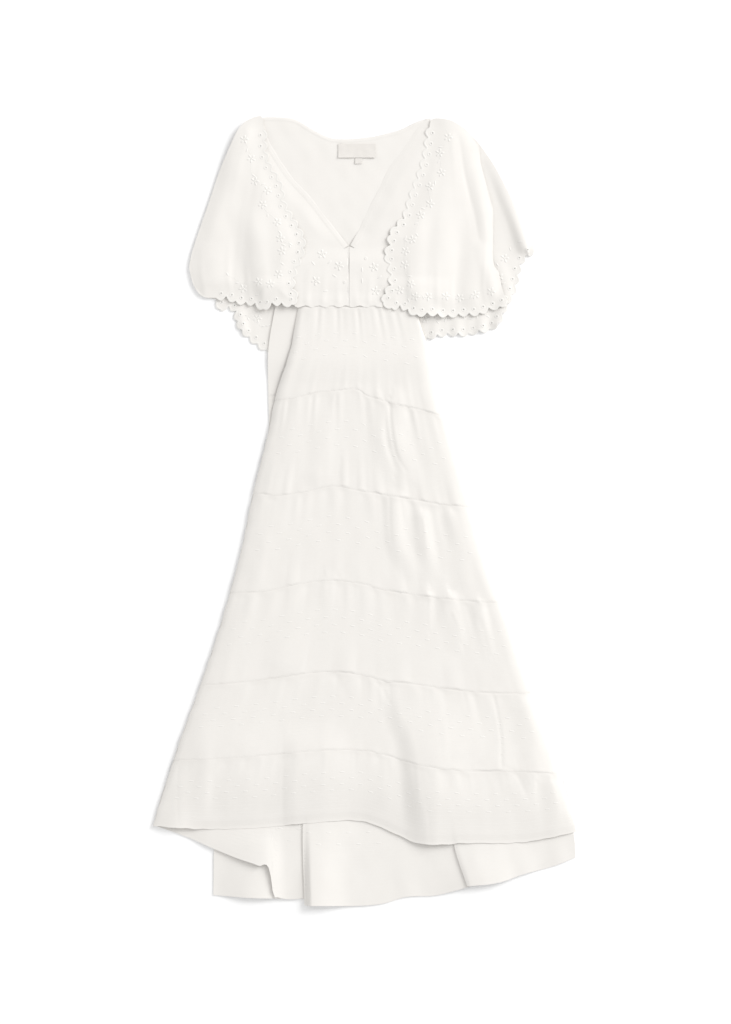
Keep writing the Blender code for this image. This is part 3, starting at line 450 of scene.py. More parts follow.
CAPE_BACK_FOLDS = (
    Fold(((204, 560), (236, 480), (256, 424)), 16, 24, 1.0, 4.0),
    Fold(((214, 400), (228, 350), (214, 300)), 16, 16, 0.8, 3.0),
    Fold(((190, 330), (186, 284)), 14, 14, 0.0, 2.4),
    Fold(((150, 330), (148, 280)), 14, 14, 0.0, 2.0),
    Fold(((116, 320), (112, 276)), 12, 12, 0.0, 1.6),
    Fold(((-208, 350), (-194, 290)), 14, 14, 0.0, 2.0),
)
CAPE_BACK_CREASES = (
    Fold(((222, 530), (240, 480), (258, 428)), 30, 12, 0.8, 1.8),
)
BODICE_CREASES = (
    Fold(((-60, 404), (-64, 370), (-66, 336)), 8, 8, 0.0, 1.4),
    Fold(((-86, 410), (-90, 370), (-92, 336)), 9, 8, 0.0, 1.2),
    Fold(((-12, 396), (-10, 366), (-8, 336)), 7, 8, 0.0, -1.0),
    Fold(((8, 400), (8, 366), (6, 336)), 6, 7, 0.0, 1.3),
    Fold(((22, 396), (20, 366), (22, 336)), 8, 8, 0.0, -1.2),
    Fold(((-40, 400), (-42, 370), (-42, 336)), 7, 7, 0.0, 1.0),
)

# Stretches of the lowest back tier, which folds over itself three times. Each row of an outline's side
# runs down from the seam, and each hem runs from left to right.
Stretch = namedtuple("Stretch", "name left right hem columns")
BACK_HEM_STRETCHES = (
    Stretch(
        "skirt_back_tier_6_under",
        ((-238, -394), (-241, -520), (-242, -616)),
        ((-52, -380), (-46, -500), (-40, -622)),
        ((0.0, -615), (0.3, -619), (1.0, -622)),
        14,
    ),
    Stretch(
        "skirt_back_tier_6_left",
        ((-303, -394), (-324, -450), (-338, -500)),
        ((-86, -394), (-84, -500), (-82, -619)),
        (
            (0.0, -503), (0.21, -522), (0.38, -541), (0.52, -555), (0.66, -567), (0.73, -576), (0.735, -584),
            (0.75, -612), (0.78, -618), (1.0, -619),
        ),
        22,
    ),
    Stretch(
        "skirt_back_tier_6_middle",
        ((-92, -380), (-99, -500), (-96, -631.3)),
        ((176, -412), (188, -500), (200, -589)),
        ((0.0, -631.3), (0.42, -629), (0.55, -618), (0.7, -616), (0.8, -609), (0.9, -600), (1.0, -590)),
        22,
    ),
    Stretch(
        "skirt_back_tier_6_right",
        ((126, -412), (141, -530), (164, -600)),
        ((305, -416), (333, -512), (338, -555)),
        ((0.0, -600), (0.3, -594), (0.53, -581), (0.77, -570), (1.0, -555)),
        18,
    ),
)
UNDER_FOLDS = (Fold(((-172, -500), (-176, -630)), 66, 60, 0.0, 8.0),)
LEFT_FLAP_FOLDS = (Fold(((-172, -430), (-160, -540), (-157, -630)), 104, 32, 0.5, 1.6, 7.0),)
MIDDLE_FOLDS = (
    Fold(((-91, -400), (-88, -520), (-86, -640)), 8, 66, 0.5, 7.5),
    Fold(((10, -480), (0, -640)), 44, 44, 0.0, 1.2),
    Fold(((64, -480), (70, -640)), 26, 26, 0.0, 1.0),
    Fold(((160, -420), (176, -520), (190, -610)), 96, 110, 0.8, 6.0),
)
RIGHT_FOLDS = (
    Fold(((134, -412), (150, -530), (173, -610)), 9, 80, 0.5, 2.4),
    Fold(((248, -470), (262, -600)), 30, 30, 0.0, 1.6),
    Fold(((302, -480), (316, -570)), 24, 22, 0.0, 1.4),
)

# Where each stretch lies across the skirt, easing down beside it, and where it climbs onto or leaves the
# stretches that it covers
Span = namedtuple("Span", "name low high")
LOW_SPANS = (
    Span("skirt_back_tier_6_under", -262.0, -30.0),
    Span("skirt_back_tier_6_left", -360.0, -72.0),
    Span("skirt_back_tier_6_middle", -108.0, 206.0),
    Span("skirt_back_tier_6_right", 120.0, 360.0),
)
SPAN_EASE = 45.0
LEFT_CLIMB_X = -285.0
LEFT_CLIMB_EASE = 36.0
MIDDLE_EDGE_X = -82.0
MIDDLE_LEAVES_X = -70.0
MIDDLE_LEAVES_EASE = 70.0
RIGHT_LEAVES_X = 206.0
RIGHT_LEAVES_EASE = 80.0

# Outlines of the capes: the scalloped edge runs from the shoulder down and round the hem, and the plain
# edge runs back up to the shoulder
CAPE_FRONT_LEFT_SCALLOPED = (
    (-161, 610), (-158, 563), (-134, 520), (-131, 493), (-108, 453), (-98, 432), (-102, 408),
    (-111, 390), (-116, 357), (-107, 334), (-126, 330), (-143, 336), (-164, 323), (-180, 337),
    (-198, 333), (-222, 344), (-238, 341),
)
CAPE_LEFT_PLAIN = (
    (-238, 341), (-258, 343), (-272, 358), (-279, 380), (-280, 395), (-273, 424), (-250, 491),
    (-230, 549), (-209, 597), (-198, 616), (-183, 627), (-164, 631), (-161, 610),
)
CAPE_FRONT_RIGHT_SCALLOPED = (
    (104, 614), (98, 574), (92, 550), (71, 492), (65, 470), (42, 443), (41, 424), (34, 408),
    (41, 392), (42, 357), (27, 338), (50, 322), (60, 331), (79, 315), (106, 318), (129, 314),
    (162, 317), (183, 317), (196, 325), (218, 328), (229, 337),
)
CAPE_FRONT_RIGHT_PLAIN = (
    (229, 337), (221, 354), (215, 382), (206, 402), (206, 482), (196, 520), (186, 558), (183, 585),
    (169, 603), (154, 616), (134, 626), (108, 627), (104, 614),
)
CAPE_BACK_LEFT_SCALLOPED = (
    (-236, 339), (-233, 325), (-225, 321), (-214, 330), (-204, 317), (-202, 294), (-190, 288),
    (-180, 274), (-164, 264), (-148, 254), (-119, 250), (-90, 254),
)
CAPE_BACK_LEFT_PLAIN = (
    (-90, 254), (-94, 338), (-110, 434), (-132, 530), (-154, 616), (-164, 630), *CAPE_LEFT_PLAIN[10:0:-1],
    (-236, 339),
)
CAPE_BACK_RIGHT_SCALLOPED = (
    (33, 269), (65, 270), (100, 278), (122, 284), (145, 285), (170, 285), (183, 290), (207, 294),
    (218, 309), (222, 325), (233, 341), (242, 365), (247, 392), (258, 410), (272, 417),
)
CAPE_BACK_RIGHT_PLAIN = (
    (272, 417), (266, 441), (249, 472), (236, 499), (210, 550), (185, 587), (169, 603), (146, 621),
    (130, 627), (105, 616), (86, 530), (63, 434), (50, 338), (33, 269),
)

# Outlines of the bodice
BACK_NECK = (
    (-163, 630), (-135, 630), (-110, 626), (-84, 611), (-58, 598), (-33, 595), (6, 598), (31, 603),
    (57, 610), (82, 622), (104, 629),
)
BODICE_BACK_LEFT_SIDE = ((-142, 335), (-151, 402), (-164, 474), (-183, 554), (-188, 612), (-180, 625))
BODICE_BACK_RIGHT_SIDE = ((122, 626), (116, 554), (105, 474), (89, 402), (79, 335))
V_LEFT = ((-163, 628), (-158, 608), (-150, 587), (-119, 539), (-86, 502), (-55, 462), (-26, 425))
V_RIGHT = ((99, 628), (82, 610), (60, 578), (39, 550), (22, 514), (7, 486), (-8, 453), (-23, 425))
BODICE_FRONT_LEFT_SIDE = ((-116, 328), (-129, 402), (-148, 474), (-170, 554), (-181, 618))
BODICE_FRONT_RIGHT_SIDE = ((121, 624), (108, 554), (95, 474), (84, 402), (79, 331))

# Neck label and size tab, both blank
LABEL_LIFT = 0.5
LABEL_SHELL = 0.45
LABEL_STITCH_PITCH = 2.6
LABEL_STITCH_STEP = 2.4
LABEL_STITCH_INSET = 1.6
LABEL_STITCH_SIZE = (1.0, 0.3, 0.3)
LABEL_STITCH_TURN = 1.57
LABEL_SIZE = (60.0, 22.0)
LABEL_CENTRE = (-12.0, 576.5)
TAB_SIZE = (11.0, 9.0)
TAB_CENTRE = (-9.5, 560.4)

# The camera hangs straight above the dress. Its frame is the photograph's, at this size and height.
FRAME_LONG_SIDE = 1.6384
LENS = 100.0
SENSOR = 36.0
CAMERA_PLACE = (0.0016, -0.0016)
FRAME_HEIGHT = 0.006

# The floor, the light and the white surround. Lengths are in metres and the energy in watts.
FLOOR_HALF = 20.0
FLOOR_GAP = 0.0004
LIGHT_DISTANCE = 12.0
LIGHT_SIZE = 7.0
LIGHT_DIRECTION = (0.74, 0.50, 0.44)
LIGHT_ENERGY = 1140.0
SURROUND_STRENGTH = 0.835


def smooth_step(t):
    """0 below t = 0, 1 above t = 1, and an even S between."""
    t = np.clip(t, 0.0, 1.0)
    return t * t * (3.0 - 2.0 * t)


def table_value(rows, key, column, value):
    """The smooth values of a table's column where its key column has these values."""
    keys = np.array([getattr(row, key) for row in rows], float)
    values = np.array([getattr(row, column) for row in rows], float)
    order = np.argsort(keys)
    return smooth_value(keys[order], values[order], value)


def smooth_value(keys, values, value):
    """A smooth line through the values at rising keys."""
    value = np.clip(value, keys[0], keys[-1])
    i = np.clip(np.searchsorted(keys, value, side="right") - 1, 0, len(keys) - 2)
    slopes = np.diff(values) / np.diff(keys)
    start = 0.5 * (slopes[np.maximum(i - 1, 0)] + slopes[i])
    end = 0.5 * (slopes[i] + slopes[np.minimum(i + 1, len(slopes) - 1)])
    span = keys[i + 1] - keys[i]
    t = (value - keys[i]) / span
    return (
        values[i] * (1 - t) ** 2 * (1 + 2 * t)
        + values[i + 1] * t * t * (3 - 2 * t)
        + span * t * (1 - t) * (start * (1 - t) - end * t)
    )


def smooth_path(points, step):
    """Points a step apart along a Catmull-Rom curve through the given points."""
    knots = np.array(points, float)
    knots = np.vstack((2 * knots[0] - knots[1], knots, 2 * knots[-1] - knots[-2]))
    pieces = 12
    t = (np.arange(pieces) / pieces)[:, None]
    dense = [
        0.5 * (2 * b + (c - a) * t + (2 * a - 5 * b + 4 * c - d) * t**2 + (3 * b - a - 3 * c + d) * t**3)
        for a, b, c, d in zip(knots, knots[1:], knots[2:], knots[3:])
    ]
    dense = np.vstack(dense + [knots[-2:-1]])
    lengths = np.concatenate(([0.0], np.cumsum(np.hypot(*np.diff(dense, axis=0).T))))
    count = max(2, round(lengths[-1] / step))
    places = np.linspace(0.0, lengths[-1], count + 1)
    return np.stack([np.interp(places, lengths, dense[:, k]) for k in (0, 1)], axis=1)


def normals(path):
    """For each point of a path, the unit vector to the left of its direction."""
    ahead = np.vstack((path[1:2] - path[:1], path[2:] - path[:-2], path[-1:] - path[-2:-1]))
    ahead = ahead / np.hypot(*ahead.T)[:, None]
    return np.stack((-ahead[:, 1], ahead[:, 0]), axis=1)


def offset_path(path, distance):
    """The path moved to its left."""
    return path + normals(path) * distance


def near_path(path, x, y):
    """The signed distances from a path, positive on its left, and the shares of its length passed."""
    path = np.asarray(path, float)
    lengths = np.hypot(*np.diff(path, axis=0).T)
    best = np.full(np.shape(x), 1e9)
    share = np.zeros(np.shape(x))
    passed = 0.0
    for (ax, ay), (bx, by), length in zip(path, path[1:], lengths):
        t = np.clip(((x - ax) * (bx - ax) + (y - ay) * (by - ay)) / length**2, 0.0, 1.0)
        away = np.hypot(x - ax - t * (bx - ax), y - ay - t * (by - ay))
        side = (bx - ax) * (y - ay) - (by - ay) * (x - ax)
        closer = away < np.abs(best)
        best = np.where(closer, np.copysign(away, side), best)
        share = np.where(closer, (passed + t * length) / lengths.sum(), share)
        passed += length
    return best, share


def fold_height(folds, x, y):
    """The sum of the folds' heights at places. A path runs down the cloth, so its left is +X."""
    x, y = np.broadcast_arrays(np.asarray(x, float), np.asarray(y, float))
    height = np.zeros(x.shape)
    for fold in folds:
        path = smooth_path(fold.path, FOLD_STEP)
        widest = max(fold.left, fold.right)
        low = path.min(axis=0) - widest
        high = path.max(axis=0) + widest
        near = (x > low[0]) & (x < high[0]) & (y > low[1]) & (y < high[1])
        if not near.any():
            continue
        away, share = near_path(path, x[near], y[near])
        reach = np.where(away > 0, fold.right, fold.left)
        middle = 0.5 * (fold.start + fold.end) if fold.middle is None else fold.middle
        ends = np.where(share < 0.5, fold.start, fold.end)
        crest = ends + (middle - ends) * (1.0 - np.abs(2.0 * share - 1.0))
        height[near] += crest * (0.5 + 0.5 * np.cos(np.pi * np.minimum(np.abs(away) / reach, 1.0)))
    return height


def rounded_edge(distance):
    """A share from 0 at a cloth's edge to 1 past its rounding, along a quarter circle."""
    t = np.clip(distance / EDGE_ROUND, 0.0, 1.0)
    return np.sqrt(1.0 - (1.0 - t) ** 2)


def wobble(t, seed, length):
    """A smooth uneven line between about -1 and 1, with waves of about this length."""
    draw = random.Random(seed)
    total = 0.0
    waves = 5
    for _ in range(waves):
        rate = 2.0 * math.pi / (length * draw.uniform(0.6, 1.9))
        total = total + np.sin(t * rate + draw.uniform(0.0, 2.0 * math.pi))
    return total / (0.6 * waves)


def ripple(x, y, seed, length):
    """A smooth uneven surface between about -1 and 1, with waves of about this length."""
    draw = random.Random(seed)
    total = 0.0
    waves = 7
    for _ in range(waves):
        turn = draw.uniform(0.0, math.pi)
        rate = 2.0 * math.pi / (length * draw.uniform(0.6, 1.9))
        total = total + np.sin((x * math.cos(turn) + y * math.sin(turn)) * rate + draw.uniform(0.0, 6.28))
    return total / (0.6 * waves)


def rippled(waves, x, y, seed):
    """The unevenness of a cloth at places."""
    return waves.height * ripple(x, waves.stretch * y, seed, waves.length)


def wobbled(waves, t, seed):
    """The unevenness of a line."""
    return waves.height * wobble(t, seed, waves.length)


def body_back_under(y):
    """Underside of the bodice back and of the skirt's back: on the back capes, then on the floor."""
    return BODY_BACK_UNDER * smooth_step((y - STEP_FOOT) / (STEP_TOP - STEP_FOOT))


def cape_back_top(x, y):
    """Upper side of the back capes."""
    return CLOTH + np.maximum(0.0, fold_height(CAPE_BACK_FOLDS, x, y))


def low_back_under(name, x, y):
    """Underside of a stretch of the lowest back tier: on the floor, or on the stretches it covers."""
    on_top = CLOTH + LAYER_GAP
    rise = smooth_step((LOW_RISE_START - y) / (LOW_RISE_START - LOW_RISE_FULL))
    under = rise * np.maximum(0.0, fold_height(UNDER_FOLDS, x, y))
    if name == "skirt_back_tier_6_under":
        return under
    if name == "skirt_back_tier_6_left":
        climbed = smooth_step((x - LEFT_CLIMB_X) / LEFT_CLIMB_EASE)
        return climbed * (on_top + under) + rise * fold_height(LEFT_FLAP_FOLDS, x, y)
    carried = 1.0 - smooth_step((x - MIDDLE_LEAVES_X) / MIDDLE_LEAVES_EASE)
    covered = 2.0 * on_top + rise * fold_height(LEFT_FLAP_FOLDS, MIDDLE_EDGE_X + 0.0 * x, y)
    middle = carried * covered + rise * fold_height(MIDDLE_FOLDS, x, y)
    if name == "skirt_back_tier_6_middle":
        return middle
    carried = 1.0 - smooth_step((x - RIGHT_LEAVES_X) / RIGHT_LEAVES_EASE)
    return carried * (on_top + middle) + rise * fold_height(RIGHT_FOLDS, x, y)


def low_back_top(x, y):
    """Upper side of the lowest back tier, easing down beside each stretch, for the front to rest on."""
    highest = 0.0
    for span in LOW_SPANS:
        beside = np.maximum(span.low - x, x - span.high)
        height = low_back_under(span.name, np.clip(x, span.low, span.high), y)
        highest = np.maximum(highest, height * (1.0 - smooth_step(beside / SPAN_EASE)))
    return CLOTH + highest


def skirt_place(s, y, left_column):
    """Places across the skirt at shares of its width, and their distances from its left and right edges."""
    left = table_value(SKIRT_EDGES, "y", left_column, y)
    right = table_value(SKIRT_EDGES, "y", "right", y)
    x = left + s * (right - left)
    return x, x - left, right - x


def side_puff(y, from_left, from_right):
    """How far the skirt's front stands off its back, rising from its side edges."""
    grown = smooth_step((PUFF_START - y) / (PUFF_START - PUFF_FULL))
    left = np.clip(from_left / SIDE_REACH_LEFT, 0.0, 1.0)
    right = np.clip(from_right / SIDE_REACH_RIGHT, 0.0, 1.0)
    return SIDE_PUFF * grown * (1.0 - (1.0 - left) ** 2) * (1.0 - (1.0 - right) ** 2)


def seam_height(tier, s):
    """The height y of the seam below a tier, or of the waist for tier 0."""
    return table_value(SKIRT_SEAMS, "s", SEAM_NAMES[tier], s)


Pucker = namedtuple("Pucker", "place half length height")


def make_puckers(seed, width, kind):
    """Uneven gathers along a seam, a little stronger towards its right end."""
    draw = random.Random(seed)
    puckers = []
    count = round(width / kind.spacing)
    for k in range(count):
        place = (k + draw.uniform(0.1, 0.9)) / count
        strength = 0.55 + 0.6 * place
        half = draw.uniform(3.0, 8.5)
        length = kind.longest * draw.uniform(0.15, 1.0) ** 1.5 + 10.0
        height = strength * kind.highest * draw.choice((-1.0, -0.6, 0.8, 1.0)) * draw.uniform(0.4, 1.0)
        puckers.append(Pucker(place, half, length, height))
    return puckers


def pucker_height(puckers, s, away, width):
    """The height of gathers at shares s of the width, at distances away from their seam."""
    total = 0.0
    for pucker in puckers:
        across = (s - pucker.place) * width / pucker.half
        fade = 1.0 - smooth_step(away / pucker.length)
        total = total + pucker.height * np.exp(-across * across) * fade
    return total


# Gathers below each tier's top seam, and above the foot of each but the last. Each tier is wider than the
# one above it, by about the same.
TOP_PUCKERS = {
    tier: make_puckers(TOP_PUCKER_SEED + tier, TOP_PUCKER_WIDTH + TIER_GROWTH * (tier - 1), TOP_KIND)
    for tier in range(1, LAST_TIER + 1)
}
FOOT_PUCKERS = {
    tier: make_puckers(FOOT_PUCKER_SEED + tier, FOOT_PUCKER_WIDTH + TIER_GROWTH * (tier - 1), FOOT_KIND)
    for tier in range(1, LAST_TIER)
}


def uneven_lift(s, seed):
    """How far a lapped edge stands off the tier below it, as a share of the lap's full lift."""
    lift = LAP_LIFT_MEAN + LAP_LIFT_SLOPE * (s - 0.5) + wobbled(LIFT_WAVES, s * SEAM_WIDTH, seed)
    return np.clip(lift, LEAST_LIFT, MOST_LIFT)


def front_gathers(tier, s, v, edge):
    """The depth of a front tier's even gathers."""
    gather = GATHER_DEPTH * (1.0 - smooth_step(v / GATHER_REACH)) * edge
    phase = GATHER_WAVES * s + 0.5 * (tier % 2) + wobbled(GATHER_DRIFT, s * SEAM_WIDTH, GATHER_SEED + tier)
    wave = 0.5 - 0.5 * np.cos(2.0 * math.pi * phase)
    return GATHER_SHARE * gather * wave


def front_fine(tier, s, x, y, down, width):
    """Creases, unevenness and uneven gathers of a front tier, from just below its top seam."""
    fine = CREASE_SHARE * fold_height(FRONT_CREASES, x, y) + rippled(FRONT_RIPPLE, x, y, FRONT_SEED + tier)
    fine = fine + pucker_height(TOP_PUCKERS[tier], s, down, width)
    return fine * smooth_step((down - CREASE_START) / CREASE_EASE)


def front_surface(tier, s, v):
    """Places and upper side of a front tier, at shares s of its width and v of its height."""
    last = tier == LAST_TIER
    top = seam_height(tier - 1, s)
    foot = seam_height(tier, s) - (0.0 if last else LAP)
    foot = foot + wobbled(SEAM_WAVES, s * SEAM_WIDTH, SEAM_SEED + tier)
    y = top + v * (foot - top)
    x, from_left, from_right = skirt_place(s, y, "front_left")
    width = from_left + from_right
    inward = np.minimum(from_left, from_right)
    edge = rounded_edge(inward)
    x = x + wobbled(SIDE_WAVES, y, SIDE_SEED + tier) * (1.0 - smooth_step(inward / SIDE_WAVES_REACH))
    down = top - y
    relief = PUFF * edge + side_puff(y, from_left, from_right) + fold_height(FRONT_FOLDS, x, y)
    relief = relief - front_gathers(tier, s, v, edge) * smooth_step((down - GATHER_START) / GATHER_EASE)
    fine = front_fine(tier, s, x, y, down, width)
    lift = -LAP_DIP * (1.0 - smooth_step((down - 0.3 * LAP) / (0.5 * LAP)))
    if not last:
        stands = LAP_LIFT * smooth_step(2.0 * v - 1.0) * uneven_lift(s, LIFT_SEED + tier)
        stands = stands + np.maximum(0.0, pucker_height(FOOT_PUCKERS[tier], s, y - foot, width))
        lift = lift + EDGE_LIFT + (stands - EDGE_LIFT) * smooth_step((y - foot) / EDGE_FALL)
        fine = fine * smooth_step((y - foot) / CREASE_EASE)
    relief = np.maximum(LOWEST_RELIEF, relief + fine * edge)
    if last:
        press = 1.0 - (1.0 - table_value(HEM_PRESS, "s", "press", s)) ** 2
        toward_hem = np.clip((v - PRESS_START) / PRESS_EASE, 0.0, 1.0) ** PRESS_POWER
        relief = relief * (1.0 - press * smooth_step(toward_hem))
        lift = lift - HEM_SETTLE * press * smooth_step((v - HEM_SETTLE_START) / HEM_SETTLE_EASE)
    base = body_back_under(y) + CLOTH + LAYER_GAP
    share = smooth_step((LOW_START - y) / (LOW_START - LOW_FULL))
    base = base + share * (low_back_top(x, y) - CLOTH)
    settled = LEFT_SETTLE * (1.0 - smooth_step(from_left / LEFT_SETTLE_REACH))
    settled = settled * smooth_step((y - LEFT_SETTLE_START) / LEFT_SETTLE_EASE)
    return x, y, base + CLOTH + lift + relief - settled


def back_surface(tier, s, v):
    """Places and upper side of a plain back tier."""
    top = BACK_SEAM_HEIGHTS[tier - 1] - SEAM_GAP
    foot = BACK_SEAM_HEIGHTS[tier]
    y = top + v * (foot - top) + 0.0 * s
    x, from_left, from_right = skirt_place(s, y, "back_left")
    fine = BACK_GATHER_SHARE * pucker_height(TOP_PUCKERS[tier], s, top - y, from_left + from_right)
    fine = fine + rippled(BACK_RIPPLE, x, y, BACK_SEED + tier)
    return x, y, body_back_under(y) + CLOTH + np.minimum(fine, BACK_MOST_FINE)


def side_at(side, v):
    """The places a share of the way down a stretch's side."""
    path = smooth_path(side, SIDE_STEP)
    y = path[0, 1] + v * (path[-1, 1] - path[0, 1])
    return np.interp(y, path[::-1, 1], path[::-1, 0])


def hem_at(hem, s):
    """The height of a stretch's hem at shares of its width."""
    points = np.array(hem, float)
    return smooth_value(points[:, 0], points[:, 1], s)


def stretch_surface(stretch, s, v):
    """Places and upper side of a stretch of the lowest back tier."""
    top = BACK_SEAM_HEIGHTS[-1] - SEAM_GAP
    left = side_at(stretch.left, v)
    right = side_at(stretch.right, v)
    x = left + s * (right - left)
    y = top + v * (hem_at(stretch.hem, s) - top)
    fine = STRETCH_RIPPLE.height + rippled(STRETCH_RIPPLE, x, y, STRETCH_SEED + len(stretch.name))
    return x, y, low_back_under(stretch.name, x, y) + CLOTH + fine


def torso_share(x, y):
    """1 over the torso, easing to 0 beside it."""
    left = table_value(TORSO_EDGES, "y", "left", y)
    right = table_value(TORSO_EDGES, "y", "right", y)
    return 1.0 - smooth_step((np.maximum(left - x, x - right) - TORSO_MARGIN) / TORSO_EASE)


def cape_front_surface(folds, creases, plain_edge, scalloped_edge, seed):
    """The upper side of a front cape, as a function of the place. It lies closer along both its edges."""

    def top(x, y):
        beside = cape_back_top(x, y) + LAYER_GAP
        lapped = MOST_LIFT * LAP_LIFT * smooth_step((CAPE_WAIST_START - y) / CAPE_WAIST_EASE)
        share = torso_share(x, y)
        inward = np.abs(near_path(plain_edge, x, y)[0])
        relief = np.maximum(CAPE_LOWEST_FOLD, CAPE_FOLD_SHARE * fold_height(folds, x, y))
        fine = CAPE_CREASE_SHARE * fold_height(creases, x, y) + rippled(CAPE_RIPPLE, x, y, seed)
        from_scallops = np.abs(near_path(scalloped_edge, x, y)[0])
        near_scallops = 1.0 - smooth_step((from_scallops - CAPE_EDGE_START) / CAPE_EDGE_EASE)
        sunk = CAPE_EDGE_DROP * near_scallops
        lift = ((1.0 - share) * PUFF + relief + fine) * (1.0 - sunk)
        settled = CAPE_SETTLE * near_scallops * smooth_step(2.0 * share)
        over = CAPE_FRONT_UNDER + lapped - PUFF * smooth_step((y - CAPE_DROP_START) / CAPE_DROP_EASE)
        over = share * over + (1.0 - share) * beside
        edge = 1.0 - (1.0 - np.clip(inward / CAPE_ROUND, 0.0, 1.0)) ** 2
        return over + lift * edge + CLOTH - settled

    return top


def cape_back_surface(x, y):
    """The upper side of the back capes with their unevenness."""
    fine = fold_height(CAPE_BACK_CREASES, x, y) + rippled(CAPE_BACK_RIPPLE, x, y, CAPE_BACK_SEED)
    return cape_back_top(x, y) + fine


def bodice_front_top(x, y):
    """The upper side of the bodice fronts: settled along the V, and lapped unevenly over the waist."""
    puffed = PUFF * smooth_step((V_FOOT - y) / V_FOOT_EASE)
    stands = LAP_LIFT * (WAIST_LIFT + uneven_lift((x - WAIST_WAVE_START) / WAIST_WIDTH, LIFT_SEED))
    lapped = stands * smooth_step((WAIST_LAP_START - y) / WAIST_LAP_EASE)
    from_v = np.minimum(np.abs(near_path(V_LEFT, x, y)[0]), np.abs(near_path(V_RIGHT, x, y)[0]))
    settled = V_SETTLE * (1.0 - smooth_step((from_v - V_SETTLE_START) / V_SETTLE_EASE))
    settled = settled * smooth_step((y - V_FOOT) / V_FOOT_EASE)
    fine = CREASE_SHARE * fold_height(BODICE_CREASES, x, y)
    fine = fine + rippled(BODICE_RIPPLE, x, y, BODICE_SEED) * smooth_step((NECK_EASE_Y - y) / NECK_EASE)
    return BODY_FRONT_UNDER + puffed + lapped - settled + CLOTH + fine


def bodice_back_top(x, y):
    """The upper side of the bodice back, which shows its inside in the V."""
    below = 0.6 * BODICE_BACK_RIPPLE.height
    return BODY_BACK_UNDER + CLOTH + rippled(BODICE_BACK_RIPPLE, x, y, BODICE_BACK_SEED) - below


def wall_faces(faces, count):
    """Faces of the upper side, of the lower side turned over, and of the rim between them."""
    corners = faces.shape[1]
    edges = np.concatenate([np.stack((faces[:, i], faces[:, (i + 1) % corners]), 1) for i in range(corners)])
    keys = edges[:, 0].astype(np.int64) * count + edges[:, 1]
    turned = edges[:, 1].astype(np.int64) * count + edges[:, 0]
    a, b = edges[~np.isin(keys, turned)].T
    rim = np.stack((a, b, b + count, a + count), 1)
    return (faces + count).tolist() + faces[:, ::-1].tolist() + rim.tolist()


def link_object(name, data):
    """A new object in the scene."""
    made = bpy.data.objects.new(name, data)
    bpy.context.scene.collection.objects.link(made)
    return made


def link_mesh(name, vertices, faces, material, sharp=CLOTH_SHARP):
    """A smooth mesh piece in metres from vertices in millimetres."""
    mesh = bpy.data.meshes.new(name)
    mesh.from_pydata((np.asarray(vertices) * MM).tolist(), [], faces)
    mesh.materials.append(material)
    mesh.shade_smooth()
    mesh.set_sharp_from_angle(angle=math.radians(sharp))
    piece = link_object(name, mesh)
    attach(piece, "root")
    return piece


def add_shell(name, x, y, top, bottom, faces, material):
    """A closed thin cloth between an upper and a lower side over the same places."""
    x, y, top, bottom = (np.ravel(a) for a in np.broadcast_arrays(x, y, top, bottom))
    vertices = np.concatenate((np.stack((x, y, bottom), 1), np.stack((x, y, top), 1)))
    return link_mesh(name, vertices, wall_faces(faces, len(x)), material)


def shell_thickness(from_edge):
    """The thickness of a cloth, thin at an edge that lies on the cloth below."""
    return THIN_EDGE + (SHELL - THIN_EDGE) * smooth_step(from_edge / THIN_REACH)


def grid_faces(rows, columns):
    """Four-sided faces of a grid whose rows run down and whose columns run to the right."""
    a = (np.arange(rows - 1)[:, None] * columns + np.arange(columns - 1)).ravel()
    return np.stack((a, a + columns, a + columns + 1, a + 1), 1)


def even_shares(length, cell, rounded=False):
    """Shares from 0 to 1 a cell apart, closer together at rounded ends."""
    shares = np.linspace(0.0, 1.0, max(2, round(length / cell)) + 1)
    if rounded:
        near = np.array((0.4, 1.0, 1.8)) / length
        shares = np.unique(np.concatenate((shares, near, 1.0 - near)))
    return shares


def inside(loop, x, y):
    """Which places lie inside a closed loop."""
    loop = np.asarray(loop, float)
    result = np.zeros(np.shape(x), bool)
    for (ax, ay), (bx, by) in zip(loop, np.roll(loop, -1, axis=0)):
        if ay != by:
            crossing = ((ay > y) != (by > y)) & (x < (bx - ax) * (y - ay) / (by - ay) + ax)
            result ^= crossing
    return result


def far_from(points, x, y, distance):
    """Which places keep a distance to every one of the points."""
    far = np.ones(len(x), bool)
    for px, py in points:
        far &= (x - px) ** 2 + (y - py) ** 2 > distance * distance
    return far


def twice_areas(plan, faces):
    """Twice the area of each triangle, below 0 where its corners run clockwise."""
    a, b, c = (plan[faces[:, k]] for k in range(3))
    return (b[:, 0] - a[:, 0]) * (c[:, 1] - a[:, 1]) - (b[:, 1] - a[:, 1]) * (c[:, 0] - a[:, 0])


